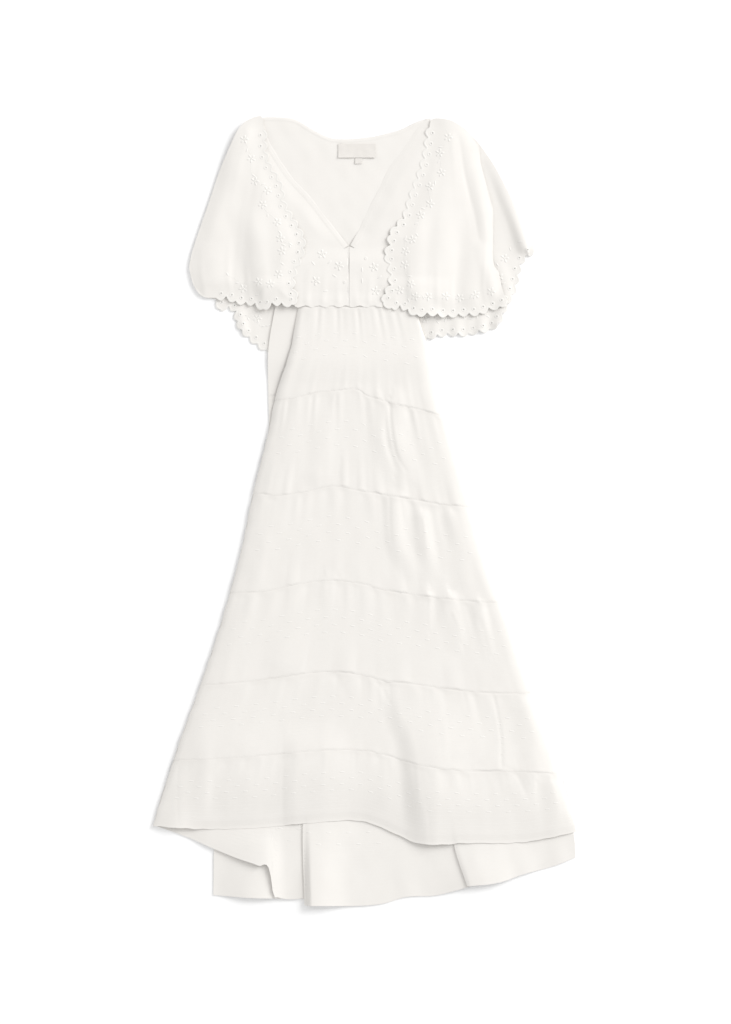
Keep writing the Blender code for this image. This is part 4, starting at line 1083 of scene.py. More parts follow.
def outline_mesh(outline, cell, holes=(), extra=()):
    """Places and triangles of a cloth with this outline and these holes, on staggered rows of cells."""
    loops = [np.asarray(outline, float)] + [np.asarray(hole, float) for hole in holes]
    low = loops[0].min(axis=0)
    high = loops[0].max(axis=0)
    rows = np.arange(low[1] + 0.5 * cell, high[1], 0.866 * cell)
    columns = np.arange(low[0], high[0], cell)
    x = (columns[None, :] + 0.5 * cell * (np.arange(len(rows))[:, None] % 2)).ravel()
    y = np.repeat(rows, len(columns))
    if len(extra):
        x = np.concatenate((x, np.asarray(extra)[:, 0]))
        y = np.concatenate((y, np.asarray(extra)[:, 1]))
    kept = inside(loops[0], x, y)
    x, y = x[kept], y[kept]
    kept = far_from(np.vstack(loops), x, y, 0.55 * cell)
    x, y = x[kept], y[kept]
    points = []
    edges = []
    for loop in loops:
        first = len(points)
        points += [Vector(p) for p in loop]
        edges += [(first + i, first + (i + 1) % len(loop)) for i in range(len(loop))]
    points += [Vector(p) for p in zip(x, y)]
    found = delaunay_2d_cdt(points, edges, [], 0, 1e-5)
    plan = np.array([(p.x, p.y) for p in found[0]])
    faces = np.array([face for face in found[2] if len(face) == 3])
    middles = plan[faces].mean(axis=1)
    kept = inside(loops[0], *middles.T)
    for hole in loops[1:]:
        kept &= ~inside(hole, *middles.T)
    faces = faces[kept]
    turned = twice_areas(plan, faces) < 0
    faces[turned] = faces[turned][:, ::-1]
    used = np.unique(faces)
    number = np.zeros(len(plan), int)
    number[used] = np.arange(len(used))
    return plan[used], number[faces]


class Trim:
    """Small raised parts of one cloth, gathered into one mesh."""

    def __init__(self):
        self.vertices = []
        self.faces = []
        self.count = 0

    def add(self, vertices, faces):
        """Adds one part."""
        self.vertices.append(vertices)
        self.faces += [[i + self.count for i in face] for face in faces]
        self.count += len(vertices)

    def add_copies(self, vertices, faces):
        """Adds copies of a part: an array of each copy's vertices, and the faces of one."""
        copies, size, _ = vertices.shape
        grid = np.arange(copies)[:, None, None] * size + self.count
        for width in sorted({len(face) for face in faces}):
            same = np.array([face for face in faces if len(face) == width])
            self.faces += (grid + same[None]).reshape(-1, width).tolist()
        self.vertices.append(vertices.reshape(-1, 3))
        self.count += copies * size

    def finish(self, name, material):
        """Makes the piece."""
        return link_mesh(name, np.concatenate(self.vertices), self.faces, material, TRIM_SHARP)


def band_faces(rings, following, around):
    """Faces between each ring of points and the one that follows it."""
    faces = []
    for i, j in zip(rings, following):
        for k in range(around):
            m = (k + 1) % around
            faces.append((i * around + k, i * around + m, j * around + m, j * around + k))
    return faces


def tube_faces(stations, around):
    """Faces of a closed tube whose stations follow each other, each a ring of points."""
    ends = [tuple(range(around))[::-1], tuple((stations - 1) * around + k for k in range(around))]
    return band_faces(range(stations - 1), range(1, stations), around) + ends


def ring_faces(stations, around):
    """Faces of a closed ring of stations, each a ring of points."""
    return band_faces(range(stations), [*range(1, stations), 0], around)


def bar_template(stations, around, blunt, ribs=0.0):
    """A raised bar from x = -1 to 1, one unit wide each way and high, with a flat foot and rounded ends."""
    points = []
    for i in range(stations):
        t = -1.0 + 2.0 * i / (stations - 1)
        size = max(0.03, (1.0 - abs(t) ** (2.0 * blunt)) ** 0.5)
        crest = size * (1.0 + ribs * (-1) ** i)
        for k in range(around):
            turn = math.pi * k / (around - 1)
            points.append((t, size * math.cos(turn), crest * math.sin(turn)))
    return np.array(points), tube_faces(stations, around)


def ring_template(stations, around, inner, ribs):
    """A raised ring of outer radius 1, with a flat foot."""
    points = []
    half = 0.5 * (1.0 - inner)
    for i in range(stations):
        angle = 2.0 * math.pi * i / stations
        crest = 1.0 + ribs * (-1) ** i
        for k in range(around):
            turn = math.pi * k / (around - 1)
            radius = 0.5 * (1.0 + inner) + half * math.cos(turn)
            points.append((radius * math.cos(angle), radius * math.sin(angle), crest * math.sin(turn)))
    return np.array(points), ring_faces(stations, around)


DASH = bar_template(7, 5, 2.0)
STITCH = bar_template(5, 4, 1.5)
LEAF = bar_template(11, 5, 0.8, 0.12)
PETAL = bar_template(9, 5, 1.3, 0.1)
EYELET_RING = ring_template(24, 5, 0.2, 0.12)


def turned_offsets(points, angles, size):
    """How far each point of a template lies from its place, across and up, once sized and turned."""
    cos = np.cos(angles)[:, None]
    sin = np.sin(angles)[:, None]
    along = points[None, :, 0] * size[0]
    across = points[None, :, 1] * size[1]
    return along * cos - across * sin, along * sin + across * cos


def place_on(surface, template, places, angles, size):
    """Copies of a template laid on a surface that gives the height at a place."""
    points, faces = template
    places = np.asarray(places, float).reshape(-1, 2)
    dx, dy = turned_offsets(points, angles, size)
    x = places[:, :1] + dx
    y = places[:, 1:] + dy
    z = surface(x, y) - TRIM_SUNK + points[None, :, 2] * size[2]
    return np.stack((x, y, z), axis=2), faces


def place_on_tier(surface, template, s, v, size):
    """Copies of a template laid on a tier, at shares of its width and height."""
    points, faces = template
    near = 0.001
    x0, y0, _ = surface(s - near, v)
    x1, y1, _ = surface(s + near, v)
    y2 = surface(s, v + near)[1]
    width = np.hypot(x1 - x0, y1 - y0) / (2.0 * near)
    height = np.abs(y2 - 0.5 * (y0 + y1)) / near
    dx, dy = turned_offsets(points, np.zeros(len(s)), size)
    x, y, z = surface(s[:, None] + dx / width[:, None], v[:, None] - dy / height[:, None])
    return np.stack((x, y, z - TRIM_SUNK + points[None, :, 2] * size[2]), axis=2), faces


def new_nodes(name):
    """A material with an empty graph but for its shader and output."""
    material = bpy.data.materials.new(name)
    material.use_nodes = True
    return material, material.node_tree.nodes, material.node_tree.links


def add_noise(nodes, links, coordinates, scale, detail=3.0, stretch=(1.0, 1.0, 1.0)):
    """A noise texture over the piece's own coordinates."""
    mapping = nodes.new("ShaderNodeMapping")
    mapping.inputs["Scale"].default_value = stretch
    links.new(coordinates, mapping.inputs["Vector"])
    noise = nodes.new("ShaderNodeTexNoise")
    noise.inputs["Scale"].default_value = scale
    noise.inputs["Detail"].default_value = detail
    links.new(mapping.outputs["Vector"], noise.inputs["Vector"])
    return noise.outputs["Fac"]


def add_wave(nodes, links, coordinates, scale, direction):
    """Even bands across the piece, as threads of a weave."""
    wave = nodes.new("ShaderNodeTexWave")
    wave.bands_direction = direction
    wave.inputs["Scale"].default_value = scale
    wave.inputs["Distortion"].default_value = 1.2
    wave.inputs["Detail"].default_value = 1.0
    wave.inputs["Detail Scale"].default_value = 0.4
    links.new(coordinates, wave.inputs["Vector"])
    return wave.outputs["Fac"]


def add_math(nodes, links, operation, *values):
    """The result of an operation on numbers or outputs."""
    node = nodes.new("ShaderNodeMath")
    node.operation = operation
    for socket, value in zip(node.inputs, values):
        if isinstance(value, float):
            socket.default_value = value
        else:
            links.new(value, socket)
    return node.outputs[0]


def add_tone(nodes, links, low, high, share, shader):
    """A colour between two, by a share that varies over the piece."""
    mix = nodes.new("ShaderNodeMix")
    mix.data_type = "RGBA"
    mix.inputs["A"].default_value = (*low, 1.0)
    mix.inputs["B"].default_value = (*high, 1.0)
    links.new(share, mix.inputs["Factor"])
    links.new(mix.outputs["Result"], shader.inputs["Base Color"])


def add_bump(nodes, links, height, strength, distance, shader):
    """Fine relief. The distance is in millimetres."""
    bump = nodes.new("ShaderNodeBump")
    bump.inputs["Strength"].default_value = strength
    bump.inputs["Distance"].default_value = distance * MM
    links.new(height, bump.inputs["Height"])
    links.new(bump.outputs["Normal"], shader.inputs["Normal"])


def make_cloth(name, light, shade, thread, slub, roughness, sheen):
    """Cotton: a pale cloth with woven threads of a size in millimetres, uneven yarns and a soft nap."""
    material, nodes, links = new_nodes(name)
    shader = nodes["Principled BSDF"]
    place = nodes.new("ShaderNodeTexCoord").outputs["Object"]
    patches = add_noise(nodes, links, place, 26.0)
    yarns = add_noise(nodes, links, place, 900.0, 2.0, (0.12, 1.0, 1.0))
    share = add_math(nodes, links, "MULTIPLY_ADD", yarns, 0.45, 0.28)
    share = add_math(nodes, links, "MULTIPLY", share, patches)
    share = add_math(nodes, links, "MULTIPLY", share, 2.0)
    add_tone(nodes, links, shade, light, share, shader)
    rough = add_math(nodes, links, "MULTIPLY_ADD", patches, 0.12, roughness - 0.06)
    links.new(rough, shader.inputs["Roughness"])
    shader.inputs["Sheen Weight"].default_value = sheen
    shader.inputs["Sheen Roughness"].default_value = 0.5
    shader.inputs["Specular IOR Level"].default_value = 0.25
    band = 2.0 * math.pi / (20.0 * thread * MM)
    warp = add_wave(nodes, links, place, band, "X")
    weft = add_wave(nodes, links, place, band, "Y")
    weave = add_math(nodes, links, "MULTIPLY", add_math(nodes, links, "ADD", warp, weft), 0.5)
    height = add_math(nodes, links, "ADD", weave, add_math(nodes, links, "MULTIPLY", yarns, slub))
    add_bump(nodes, links, height, 0.35, 0.12, shader)
    return material


def make_thread(name, colour, roughness):
    """Embroidery thread: a smooth lustre with fine strands."""
    material, nodes, links = new_nodes(name)
    shader = nodes["Principled BSDF"]
    place = nodes.new("ShaderNodeTexCoord").outputs["Object"]
    strands = add_noise(nodes, links, place, 1400.0, 2.0)
    add_tone(nodes, links, [0.93 * c for c in colour], colour, strands, shader)
    shader.inputs["Roughness"].default_value = roughness
    shader.inputs["Sheen Weight"].default_value = 0.15
    add_bump(nodes, links, strands, 0.3, 0.1, shader)
    return material


TIER_COTTON = make_cloth("tier_cotton", (0.80, 0.775, 0.74), (0.765, 0.74, 0.705), 0.9, 0.9, 0.88, 0.15)
CAPE_COTTON = make_cloth("cape_cotton", (0.81, 0.785, 0.75), (0.775, 0.75, 0.715), 0.8, 0.6, 0.86, 0.15)
BODICE_COTTON = make_cloth("bodice_cotton", (0.81, 0.785, 0.75), (0.775, 0.75, 0.715), 0.8, 0.6, 0.86, 0.15)
BINDING_COTTON = make_cloth("binding_cotton", (0.80, 0.775, 0.74), (0.77, 0.745, 0.71), 0.6, 0.4, 0.8, 0.1)
LABEL_SATIN = make_cloth("label_satin", (0.75, 0.72, 0.68), (0.72, 0.69, 0.655), 0.4, 0.3, 0.55, 0.1)
THREAD = make_thread("embroidery_thread", (0.81, 0.79, 0.755), 0.6)


def surface_of(maker, *first):
    """A surface at two values, from a function that needs more arguments first."""

    def surface(a, b):
        return maker(*first, a, b)

    return surface


def add_cords(trim, surface, count, width):
    """Fine raised cords that run across a tier."""
    s = CORD_INSET + (1.0 - 2.0 * CORD_INSET) * even_shares(width, CORD_STEP)
    half = 0.5 * CORD_WIDTH
    for k in range(count):
        v = CORD_START + (CORD_STOP - CORD_START) * k / max(1, count - 1)
        x, y, z = surface(s, np.full(len(s), v))
        crest = CORD_HEIGHT * np.clip(0.45 + rippled(CORD_RIPPLE, x, y, CORD_SEED), 0.1, 1.0)
        sides = ((half, -CORD_SUNK), (0.0, crest), (-half, -CORD_SUNK))
        rows = np.stack([np.stack((x, y + offset, z + height), 1) for offset, height in sides], axis=1)
        trim.add(rows.reshape(-1, 3), tube_faces(len(s), 3))


def add_row(trim, surface, template, size, s, v, margin):
    """A row of copies across a tier, clear of its side edges."""
    s = s[(s > margin) & (s < 1.0 - margin)]
    trim.add_copies(*place_on_tier(surface, template, s, np.full(len(s), v), size))


def add_dash_rows(trim, surface, width):
    """Rows of raised dashes across a tier, each row shifted by half a space."""
    count = max(2, round(width / DASH_SPACING))
    for k, v in enumerate(DASH_ROWS):
        s = (np.arange(count) + 0.3 + 0.5 * (k % 2)) / count
        add_row(trim, surface, DASH, DASH_SIZE, s, v, DASH_MARGIN)


def add_stitch_row(trim, surface, v, width):
    """A row of small stitches across a tier."""
    count = round(width / STITCH_PITCH)
    s = (np.arange(count) + 0.5) / count
    add_row(trim, surface, STITCH, STITCH_SIZE, s, v, STITCH_MARGIN)


def tier_trim(name, surface, width, height, hem):
    """The cords, dashes and stitches of a tier."""
    trim = Trim()
    add_cords(trim, surface, round((CORD_STOP - CORD_START) * height / CORD_PITCH), width)
    add_dash_rows(trim, surface, width)
    inset = HEM_STITCH_INSET if hem else LAP_STITCH_INSET
    add_stitch_row(trim, surface, 1.0 - inset / height, width)
    return trim.finish(name, THREAD)


def declare_tier(node):
    """Hides the solid that a tier replaces."""
    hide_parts(node)


def declare_laid(node):
    """Hides the solid that a cloth cut to an outline replaces."""
    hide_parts(node)


def add_tier_cloth(name, surface, s, v, underside):
    """A tier's cloth over a grid of shares. Its underside is given from y, its upper side and v."""
    x, y, top = surface(s[None, :], v[:, None])
    bottom = underside(y, top, v[:, None])
    return add_shell(name, x, y, top, bottom, grid_faces(len(v), len(s)), TIER_COTTON)


def add_skirt_front():
    """Six gathered tiers with their cords, dashes and stitches."""
    for tier in range(1, LAST_TIER + 1):
        node = f"skirt_front_tier_{tier}"
        middle = 0.5 * (seam_height(tier - 1, 0.5) + seam_height(tier, 0.5))
        width = 2.0 * float(skirt_place(0.5, middle, "front_left")[1])
        height = float(seam_height(tier - 1, 0.5) - seam_height(tier, 0.5)) + LAP
        s = even_shares(width, TIER_COLUMN, rounded=True)
        v = even_shares(height, TIER_ROW)
        v = np.unique(np.concatenate((v, 1.0 - np.array(FOOT_ROWS) / height)))
        surface = surface_of(front_surface, tier)

        def underside(y, top, down):
            return top - shell_thickness((1.0 - down) * height)

        piece = add_tier_cloth(f"{node}_cloth", surface, s, v, underside)
        trim = tier_trim(f"{node}_stitches", surface, width, height, tier == LAST_TIER)
        declare_tier(node)


def add_skirt_back():
    """Five tiers of the skirt's back, flat on the floor or on the back capes."""
    for tier in range(1, len(BACK_SEAM_HEIGHTS)):
        node = f"skirt_back_tier_{tier}"
        middle = 0.5 * (BACK_SEAM_HEIGHTS[tier - 1] + BACK_SEAM_HEIGHTS[tier])
        width = 2.0 * float(skirt_place(0.5, middle, "back_left")[1])
        height = BACK_SEAM_HEIGHTS[tier - 1] - BACK_SEAM_HEIGHTS[tier]
        s = even_shares(width, BACK_CELL)
        v = even_shares(height, BACK_CELL)
        surface = surface_of(back_surface, tier)
        piece = add_tier_cloth(f"{node}_cloth", surface, s, v, lambda y, top, down: body_back_under(y))
        declare_tier(node)


def add_back_hem():
    """The lowest back tier in the stretches that its folds make."""
    for stretch in BACK_HEM_STRETCHES:
        top_y = BACK_SEAM_HEIGHTS[-1] - SEAM_GAP
        width = 0.5 * (stretch.right[0][0] - stretch.left[0][0] + stretch.right[-1][0] - stretch.left[-1][0])
        height = top_y - float(hem_at(stretch.hem, np.array(0.5)))
        s = even_shares(width, STRETCH_CELL)
        v = even_shares(height, STRETCH_CELL)
        surface = surface_of(stretch_surface, stretch)
        name = f"{stretch.name}_cloth"
        piece = add_tier_cloth(name, surface, s, v, lambda y, top, down: np.maximum(0.0, top - CLOTH))
        trim = tier_trim(f"{stretch.name}_stitches", surface, width, height, True)
        declare_tier(stretch.name)


def scalloped(points, outward, stations):
    """A scalloped edge, and the places and outward directions of its scallops."""
    path = smooth_path(points, SCALLOP_PITCH)
    sides = normals(path)
    edge = []
    for i in range(len(path) - 1):
        for k in range(stations):
            t = k / stations
            bulge = SCALLOP_DEPTH * math.sin(math.pi * t)
            side = sides[i] * (1.0 - t) + sides[i + 1] * t
            edge.append(path[i] * (1.0 - t) + path[i + 1] * t + side * outward * bulge)
    edge.append(path[-1])
    middles = 0.5 * (path[:-1] + path[1:])
    out = 0.5 * (sides[:-1] + sides[1:])
    out = outward * out / np.hypot(*out.T)[:, None]
    return np.array(edge), middles, out


def circle(centre, radius, sides):
    """The outline of a round hole."""
    turn = 2.0 * np.pi * np.arange(sides) / sides
    return np.stack((centre[0] + radius * np.cos(turn), centre[1] + radius * np.sin(turn)), 1)


def add_rim(trim, edge, outward, surface):
    """The satin-stitched rim of a scalloped edge: a low ribbed roll."""
    path = smooth_path(edge, RIM_STEP)
    sides = normals(path)
    ribs = 1.0 + RIM_RIB * (np.arange(len(path)) % 2)
    rows = []
    for inset, height in RIM_SECTION:
        place = path + sides * (-outward * inset)
        rows.append(np.column_stack((place, surface(*place.T) - RIM_SUNK + RIM_HEIGHT * height * ribs)))
    ring = np.stack(rows if outward > 0 else rows[::-1], axis=1)
    trim.add(ring.reshape(-1, 3), tube_faces(len(path), len(RIM_SECTION)))


def place_around(centre, reach, turn):
    """A place at a distance from a centre, in the direction of an angle."""
    return centre + reach * np.array((math.cos(turn), math.sin(turn)))


def flower_centres(middle, kept):
    """Places for flowers where a vine is kept, half a wave apart and clear of each other."""
    centres = []
    last = -VINE_WAVE
    for i in range(FLOWER_END, len(middle) - FLOWER_END):
        passed = VINE_STEP * i
        near = any(math.dist(middle[i], other) < FLOWER_GAP for other in centres)
        if kept[i] and passed - last > 0.5 * VINE_WAVE - 0.1 and not near:
            last = passed
            centres.append(middle[i])
    return centres


def stem_runs(kept):
    """The stretches where a vine is kept, without the shortest."""
    runs = []
    run = []
    for i, shown in enumerate([*kept, False]):
        if shown:
            run.append(i)
            continue
        if len(run) > SHORTEST_STEM:
            runs.append(run)
        run = []
    return runs


def add_stem(trim, line, surface):
    """A thin raised stem."""
    rows = []
    for offset, height in STEM_SECTION:
        place = line + normals(line) * offset
        rows.append(np.column_stack((place, surface(*place.T) + height)))
    trim.add(np.stack(rows, axis=1).reshape(-1, 3), tube_faces(len(line), len(STEM_SECTION)))


def add_flowers(trim, centres, surface, draw):
    """Flowers of five petals round a small ring."""
    petals = []
    turns = []
    for centre in centres:
        start = draw.uniform(0.0, 6.28)
        for k in range(PETALS):
            turns.append(start + 2.0 * math.pi * k / PETALS)
            petals.append(place_around(centre, PETAL_REACH, turns[-1]))
    trim.add_copies(*place_on(surface, PETAL, petals, np.array(turns), PETAL_SIZE))
    trim.add_copies(*place_on(surface, EYELET_RING, centres, np.zeros(len(centres)), FLOWER_RING_SIZE))


def add_leaves(trim, middle, kept, centres, surface, draw):
    """Leaves to either side of a stem by turns, clear of its flowers."""
    leaves = []
    turns = []
    for i in range(LEAF_END, len(middle) - LEAF_END, LEAF_PITCH):
        near_flower = any(math.dist(middle[i], centre) < LEAF_GAP for centre in centres)
        if not kept[i] or near_flower:
            continue
        along = middle[i + 1] - middle[i - 1]
        hand = 1 if (i // LEAF_PITCH) % 2 else -1
        turns.append(math.atan2(along[1], along[0]) + hand * draw.uniform(0.7, 1.0))
        leaves.append(place_around(middle[i], LEAF_REACH, turns[-1]))
    trim.add_copies(*place_on(surface, LEAF, leaves, np.array(turns), LEAF_SIZE))


def add_vine(trim, path, inward, allowed, surface, seed):
    """A vine of small flowers and leaves along a border, on the inner side of its path."""
    draw = random.Random(seed)
    passed = VINE_STEP * np.arange(len(path))
    inset = VINE_INSET + VINE_SWAY * np.sin(2.0 * np.pi * passed / VINE_WAVE)
    middle = path + normals(path) * (inward * inset)[:, None]
    kept = allowed(*middle.T)
    centres = flower_centres(middle, kept)
    for run in stem_runs(kept):
        add_stem(trim, middle[run], surface)
    if centres:
        add_flowers(trim, centres, surface, draw)
    add_leaves(trim, middle, kept, centres, surface, draw)


# A cape half: its two edges, the side of its scalloped path that is outward, where eyelets and motifs show,
# how far its plain edge is moved in, its vine's seed, what it rests on, and its upper side
Cape = namedtuple("Cape", "name scalloped plain outward shows inset seed rests surface")


def eyelet_centres(cape, closed, middles, out):
    """Centres of a border's eyelets, where they show and are clear of its edge and of each other."""
    centres = []
    for middle, away in zip(middles, out):
        centre = middle - away * EYELET_INSET
        alone = all(math.dist(centre, other) > EYELET_SPACING * EYELET_DIAMETER for other in centres)
        room = np.abs(near_path(closed, *centre)[0]) > EYELET_MARGIN
        if alone and room and cape.shows(*centre):
            centres.append(centre)
    return np.array(centres)


def cape_trim(cape, edge, closed, centres):
    """The stitched rim, rings and vine of a cape half."""
    trim = Trim()
    add_rim(trim, edge, cape.outward, cape.surface)
    radius = 0.5 * EYELET_DIAMETER + RING_WIDTH
    size = (radius, radius, RING_HEIGHT)
    trim.add_copies(*place_on(cape.surface, EYELET_RING, centres, np.zeros(len(centres)), size))

    def allowed(x, y):
        """Where a motif of the vine has room and shows."""
        clear = np.abs(near_path(closed, x, y)[0]) > VINE_EDGE_GAP
        shown = np.array([cape.shows(a, b) for a, b in zip(x, y)])
        return inside(closed[:-1], x, y) & clear & shown

    add_vine(trim, smooth_path(cape.scalloped, VINE_STEP), -cape.outward, allowed, cape.surface, cape.seed)
    return trim.finish(f"{cape.name}_embroidery", THREAD)


def add_cape(cape):
    """A cape half: its cloth with eyelets, its stitched rim, rings and vine."""
    edge, middles, out = scalloped(cape.scalloped, cape.outward, SCALLOP_STATIONS)
    plain = smooth_path(cape.plain, PLAIN_EDGE_STEP)
    plain = np.vstack((plain[:1], offset_path(plain, -cape.outward * cape.inset)[1:-1], plain[-1:]))
    outline = np.vstack((edge, plain[1:-1]))
    closed = np.vstack((outline, outline[:1]))
    centres = eyelet_centres(cape, closed, middles, out)
    holes = [circle(centre, 0.5 * EYELET_DIAMETER, EYELET_SIDES) for centre in centres]
    rounding = np.vstack([offset_path(plain, -cape.outward * inset)[1:-1] for inset in PLAIN_EDGE_ROWS])
    plan, faces = outline_mesh(outline, CAPE_CELL, holes, rounding)
    x, y = plan.T
    top = cape.surface(x, y)
    bottom = top - shell_thickness(np.abs(near_path(cape.scalloped, x, y)[0]))
    if cape.rests == "floor":
        bottom = np.maximum(0.0, fold_height(CAPE_BACK_FOLDS, x, y))
    piece = add_shell(f"{cape.name}_cloth", x, y, top, bottom, faces, CAPE_COTTON)
    stitched = cape_trim(cape, edge, closed, centres)
    declare_laid(cape.name)


def everywhere(x, y):
    """A front cape shows as a whole."""
    return True


def left_of_skirt(x, y):
    """Where the left back cape shows."""
    return x < BACK_EYELETS_LEFT_X or y < BACK_EYELETS_LEFT_Y


def right_of_skirt(x, y):
    """Where the right back cape shows."""
    return x > BACK_EYELETS_RIGHT_X


def add_capes():
    """Two back cape halves and the two front ones that lie on them."""
    left_top = cape_front_surface(
        CAPE_LEFT_FOLDS, CAPE_LEFT_CREASES, CAPE_LEFT_PLAIN[:-1], CAPE_FRONT_LEFT_SCALLOPED,
        CAPE_LEFT_SEED,
    )
    right_top = cape_front_surface(
        CAPE_RIGHT_FOLDS, CAPE_RIGHT_CREASES, CAPE_FRONT_RIGHT_PLAIN[:-1], CAPE_FRONT_RIGHT_SCALLOPED,
        CAPE_RIGHT_SEED,
    )
    capes = (
        Cape(
            "cape_back_left", CAPE_BACK_LEFT_SCALLOPED, CAPE_BACK_LEFT_PLAIN, -1, left_of_skirt,
            BACK_CAPE_INSET, 3, "floor", cape_back_surface,
        ),
        Cape(
            "cape_back_right", CAPE_BACK_RIGHT_SCALLOPED, CAPE_BACK_RIGHT_PLAIN, -1, right_of_skirt,
            BACK_CAPE_INSET, 4, "floor", cape_back_surface,
        ),
        Cape(
            "cape_front_left", CAPE_FRONT_LEFT_SCALLOPED, CAPE_LEFT_PLAIN, 1, everywhere,
            0.0, 5, "cape_back_left_cloth", left_top,
        ),
        Cape(
            "cape_front_right", CAPE_FRONT_RIGHT_SCALLOPED, CAPE_FRONT_RIGHT_PLAIN, -1, everywhere,
            0.0, 6, "cape_back_right_cloth", right_top,
        ),
    )
    for cape in capes:
        add_cape(cape)


def add_bodice_cloth(node, outline, surface, bottom=None):
    """A flat cut cloth on its solid's upper side, thin at the waist unless its underside is given."""
    plan, faces = outline_mesh(outline, BODICE_CELL)
    x, y = plan.T
    top = surface(x, y)
    low = top - shell_thickness(y - WAIST_SEAM_Y) if bottom is None else np.full(len(x), bottom)
    piece = add_shell(f"{node}_cloth", x, y, top, low, faces, BODICE_COTTON)
    declare_laid(node)


def binding_section():
    """Shares of a binding's width and heights over its cloth, once round its section."""
    section = []
    for k in range(BINDING_STEPS + 1):
        t = BINDING_OVERLAP * k / BINDING_STEPS
        if t < 0.5:
            height = BINDING_SUNK + BINDING_DOME * (1.0 - abs(2.0 * t - 1.0) ** BINDING_BLUNT) ** 0.5
        else:
            height = BINDING_SEWN - BINDING_SEWN_FALL * ((t - 0.5) / (BINDING_OVERLAP - 0.5)) ** 4
        section.append((t, height))
    return section + list(BINDING_FOOT)


def add_binding(node, path, width, outward, surface, limit=None):
    """A folded binding strip along an edge, a little domed, with a row of stitches."""
    line = smooth_path(path, BINDING_STEP)
    side = normals(line) * -outward
    ring = []
    for t, height in binding_section():
        place = line + side * (t * width)
        if limit is not None:
            stopped = np.minimum if outward > 0 else np.maximum
            place[:, 0] = stopped(place[:, 0], limit)
        ring.append(np.column_stack((place, surface(*place.T) + height)))
    if outward > 0:
        ring = ring[::-1]
    vertices = np.stack(ring, axis=1).reshape(-1, 3)
    faces = tube_faces(len(line), len(ring))
    piece = link_mesh(f"{node}_cloth", vertices, faces, BINDING_COTTON)

    def on_top(x, y):
        return surface(x, y) + BINDING_STITCH_LIFT

    row = smooth_path(offset_path(line, -outward * (width - BINDING_STITCH_INSET)), STITCH_PITCH)
    ahead = row[3:-1] - row[1:-3]
    turns = np.arctan2(ahead[:, 1], ahead[:, 0])
    trim = Trim()
    trim.add_copies(*place_on(on_top, STITCH, row[2:-2], turns, STITCH_SIZE))
    stitched = trim.finish(f"{node}_stitches", THREAD)
    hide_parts(node)
    return [piece, stitched]


def gathered_waist(start, end):
    """The gathered foot of a bodice front, from one place to another."""
    x = np.linspace(start, end, WAIST_POINTS)
    wave = WAIST_WAVE_DEPTH * np.cos(2 * np.pi * WAIST_WAVES * (x - WAIST_WAVE_START) / WAIST_WIDTH)
    return np.stack((x, WAIST_SEAM_Y + wave + wobbled(WAIST_UNEVEN, x, WAIST_SEED)), 1)


def add_bodice_back():
    """The bodice back, which shows its inside in the V, with its neck binding."""
    trims = add_binding("back_neck_binding", BACK_NECK, BINDING_WIDTH, 1, bodice_back_top)
    neck = offset_path(smooth_path(BACK_NECK, BODICE_STEP), -BINDING_WIDTH - SEAM_GAP)
    outline = np.vstack((neck, BODICE_BACK_RIGHT_SIDE, BODICE_BACK_LEFT_SIDE))
    add_bodice_cloth(
        "bodice_back", outline, bodice_back_top, bottom=BODY_BACK_UNDER,
    )


# A bodice front: its V edge, its side from the waist up, where its waist ends, and 1 for left or -1 for right
Front = namedtuple("Front", "name v side waist_x hand")
BODICE_FRONTS = (
    Front("left", V_LEFT, BODICE_FRONT_LEFT_SIDE[1:], WAIST_LEFT_X, 1),
    Front("right", V_RIGHT, BODICE_FRONT_RIGHT_SIDE[:0:-1], WAIST_RIGHT_X, -1),
)


def centre_edge(front):
    """Where a bodice front ends at the centre."""
    return CENTRE_X - front.hand * 0.5 * SEAM_GAP


def bodice_front_outline(front):
    """Down the inside of the V binding, along the gathered waist and up the side."""
    centre = centre_edge(front)
    v_edge = offset_path(smooth_path(front.v, BODICE_STEP), -front.hand * (V_BINDING_WIDTH + SEAM_GAP))
    v_edge = v_edge[front.hand * (centre - v_edge[:, 0]) > V_EDGE_GAP]
    waist = gathered_waist(centre, front.waist_x)
    return np.vstack((v_edge, [(centre, V_MEETING_Y)], waist, front.side))


def add_bodice_fronts():
    """Two bodice fronts that meet at the centre, with their V bindings and small motifs."""
    bindings = []
    for front in BODICE_FRONTS:
        node = f"front_neck_binding_{front.name}"
        limit = centre_edge(front)
        bindings.append(add_binding(node, front.v, V_BINDING_WIDTH, front.hand, bodice_front_top, limit))
    for front, binding in zip(BODICE_FRONTS, bindings):
        trims = binding + bodice_trims(front.name)
        node = f"bodice_front_{front.name}"
        outline = bodice_front_outline(front)
        add_bodice_cloth(node, outline, bodice_front_top)


# Small motifs of the bodice fronts: the kind, the place and the turn
Motif = namedtuple("Motif", "kind x y turn")
BODICE_MOTIFS = {
    "left": (
        Motif("flower", -68, 411, 0.3), Motif("flower", -41, 392, 1.1), Motif("ring", -32, 366, 0.0),
        Motif("leaf", -56, 398, 0.7), Motif("leaf", -82, 396, 2.2), Motif("leaf", -48, 376, 2.6),
        Motif("flower", -78, 368, 0.8), Motif("leaf", -62, 352, 0.2),
    ),
    "right": (
        Motif("flower", 15, 390, 0.5), Motif("leaf", -4, 368, 1.57), Motif("leaf", -4, 386, 1.57),
        Motif("ring", 2, 404, 0.0), Motif("leaf", 24, 374, 0.6), Motif("flower", 18, 352, 0.2),
    ),
}


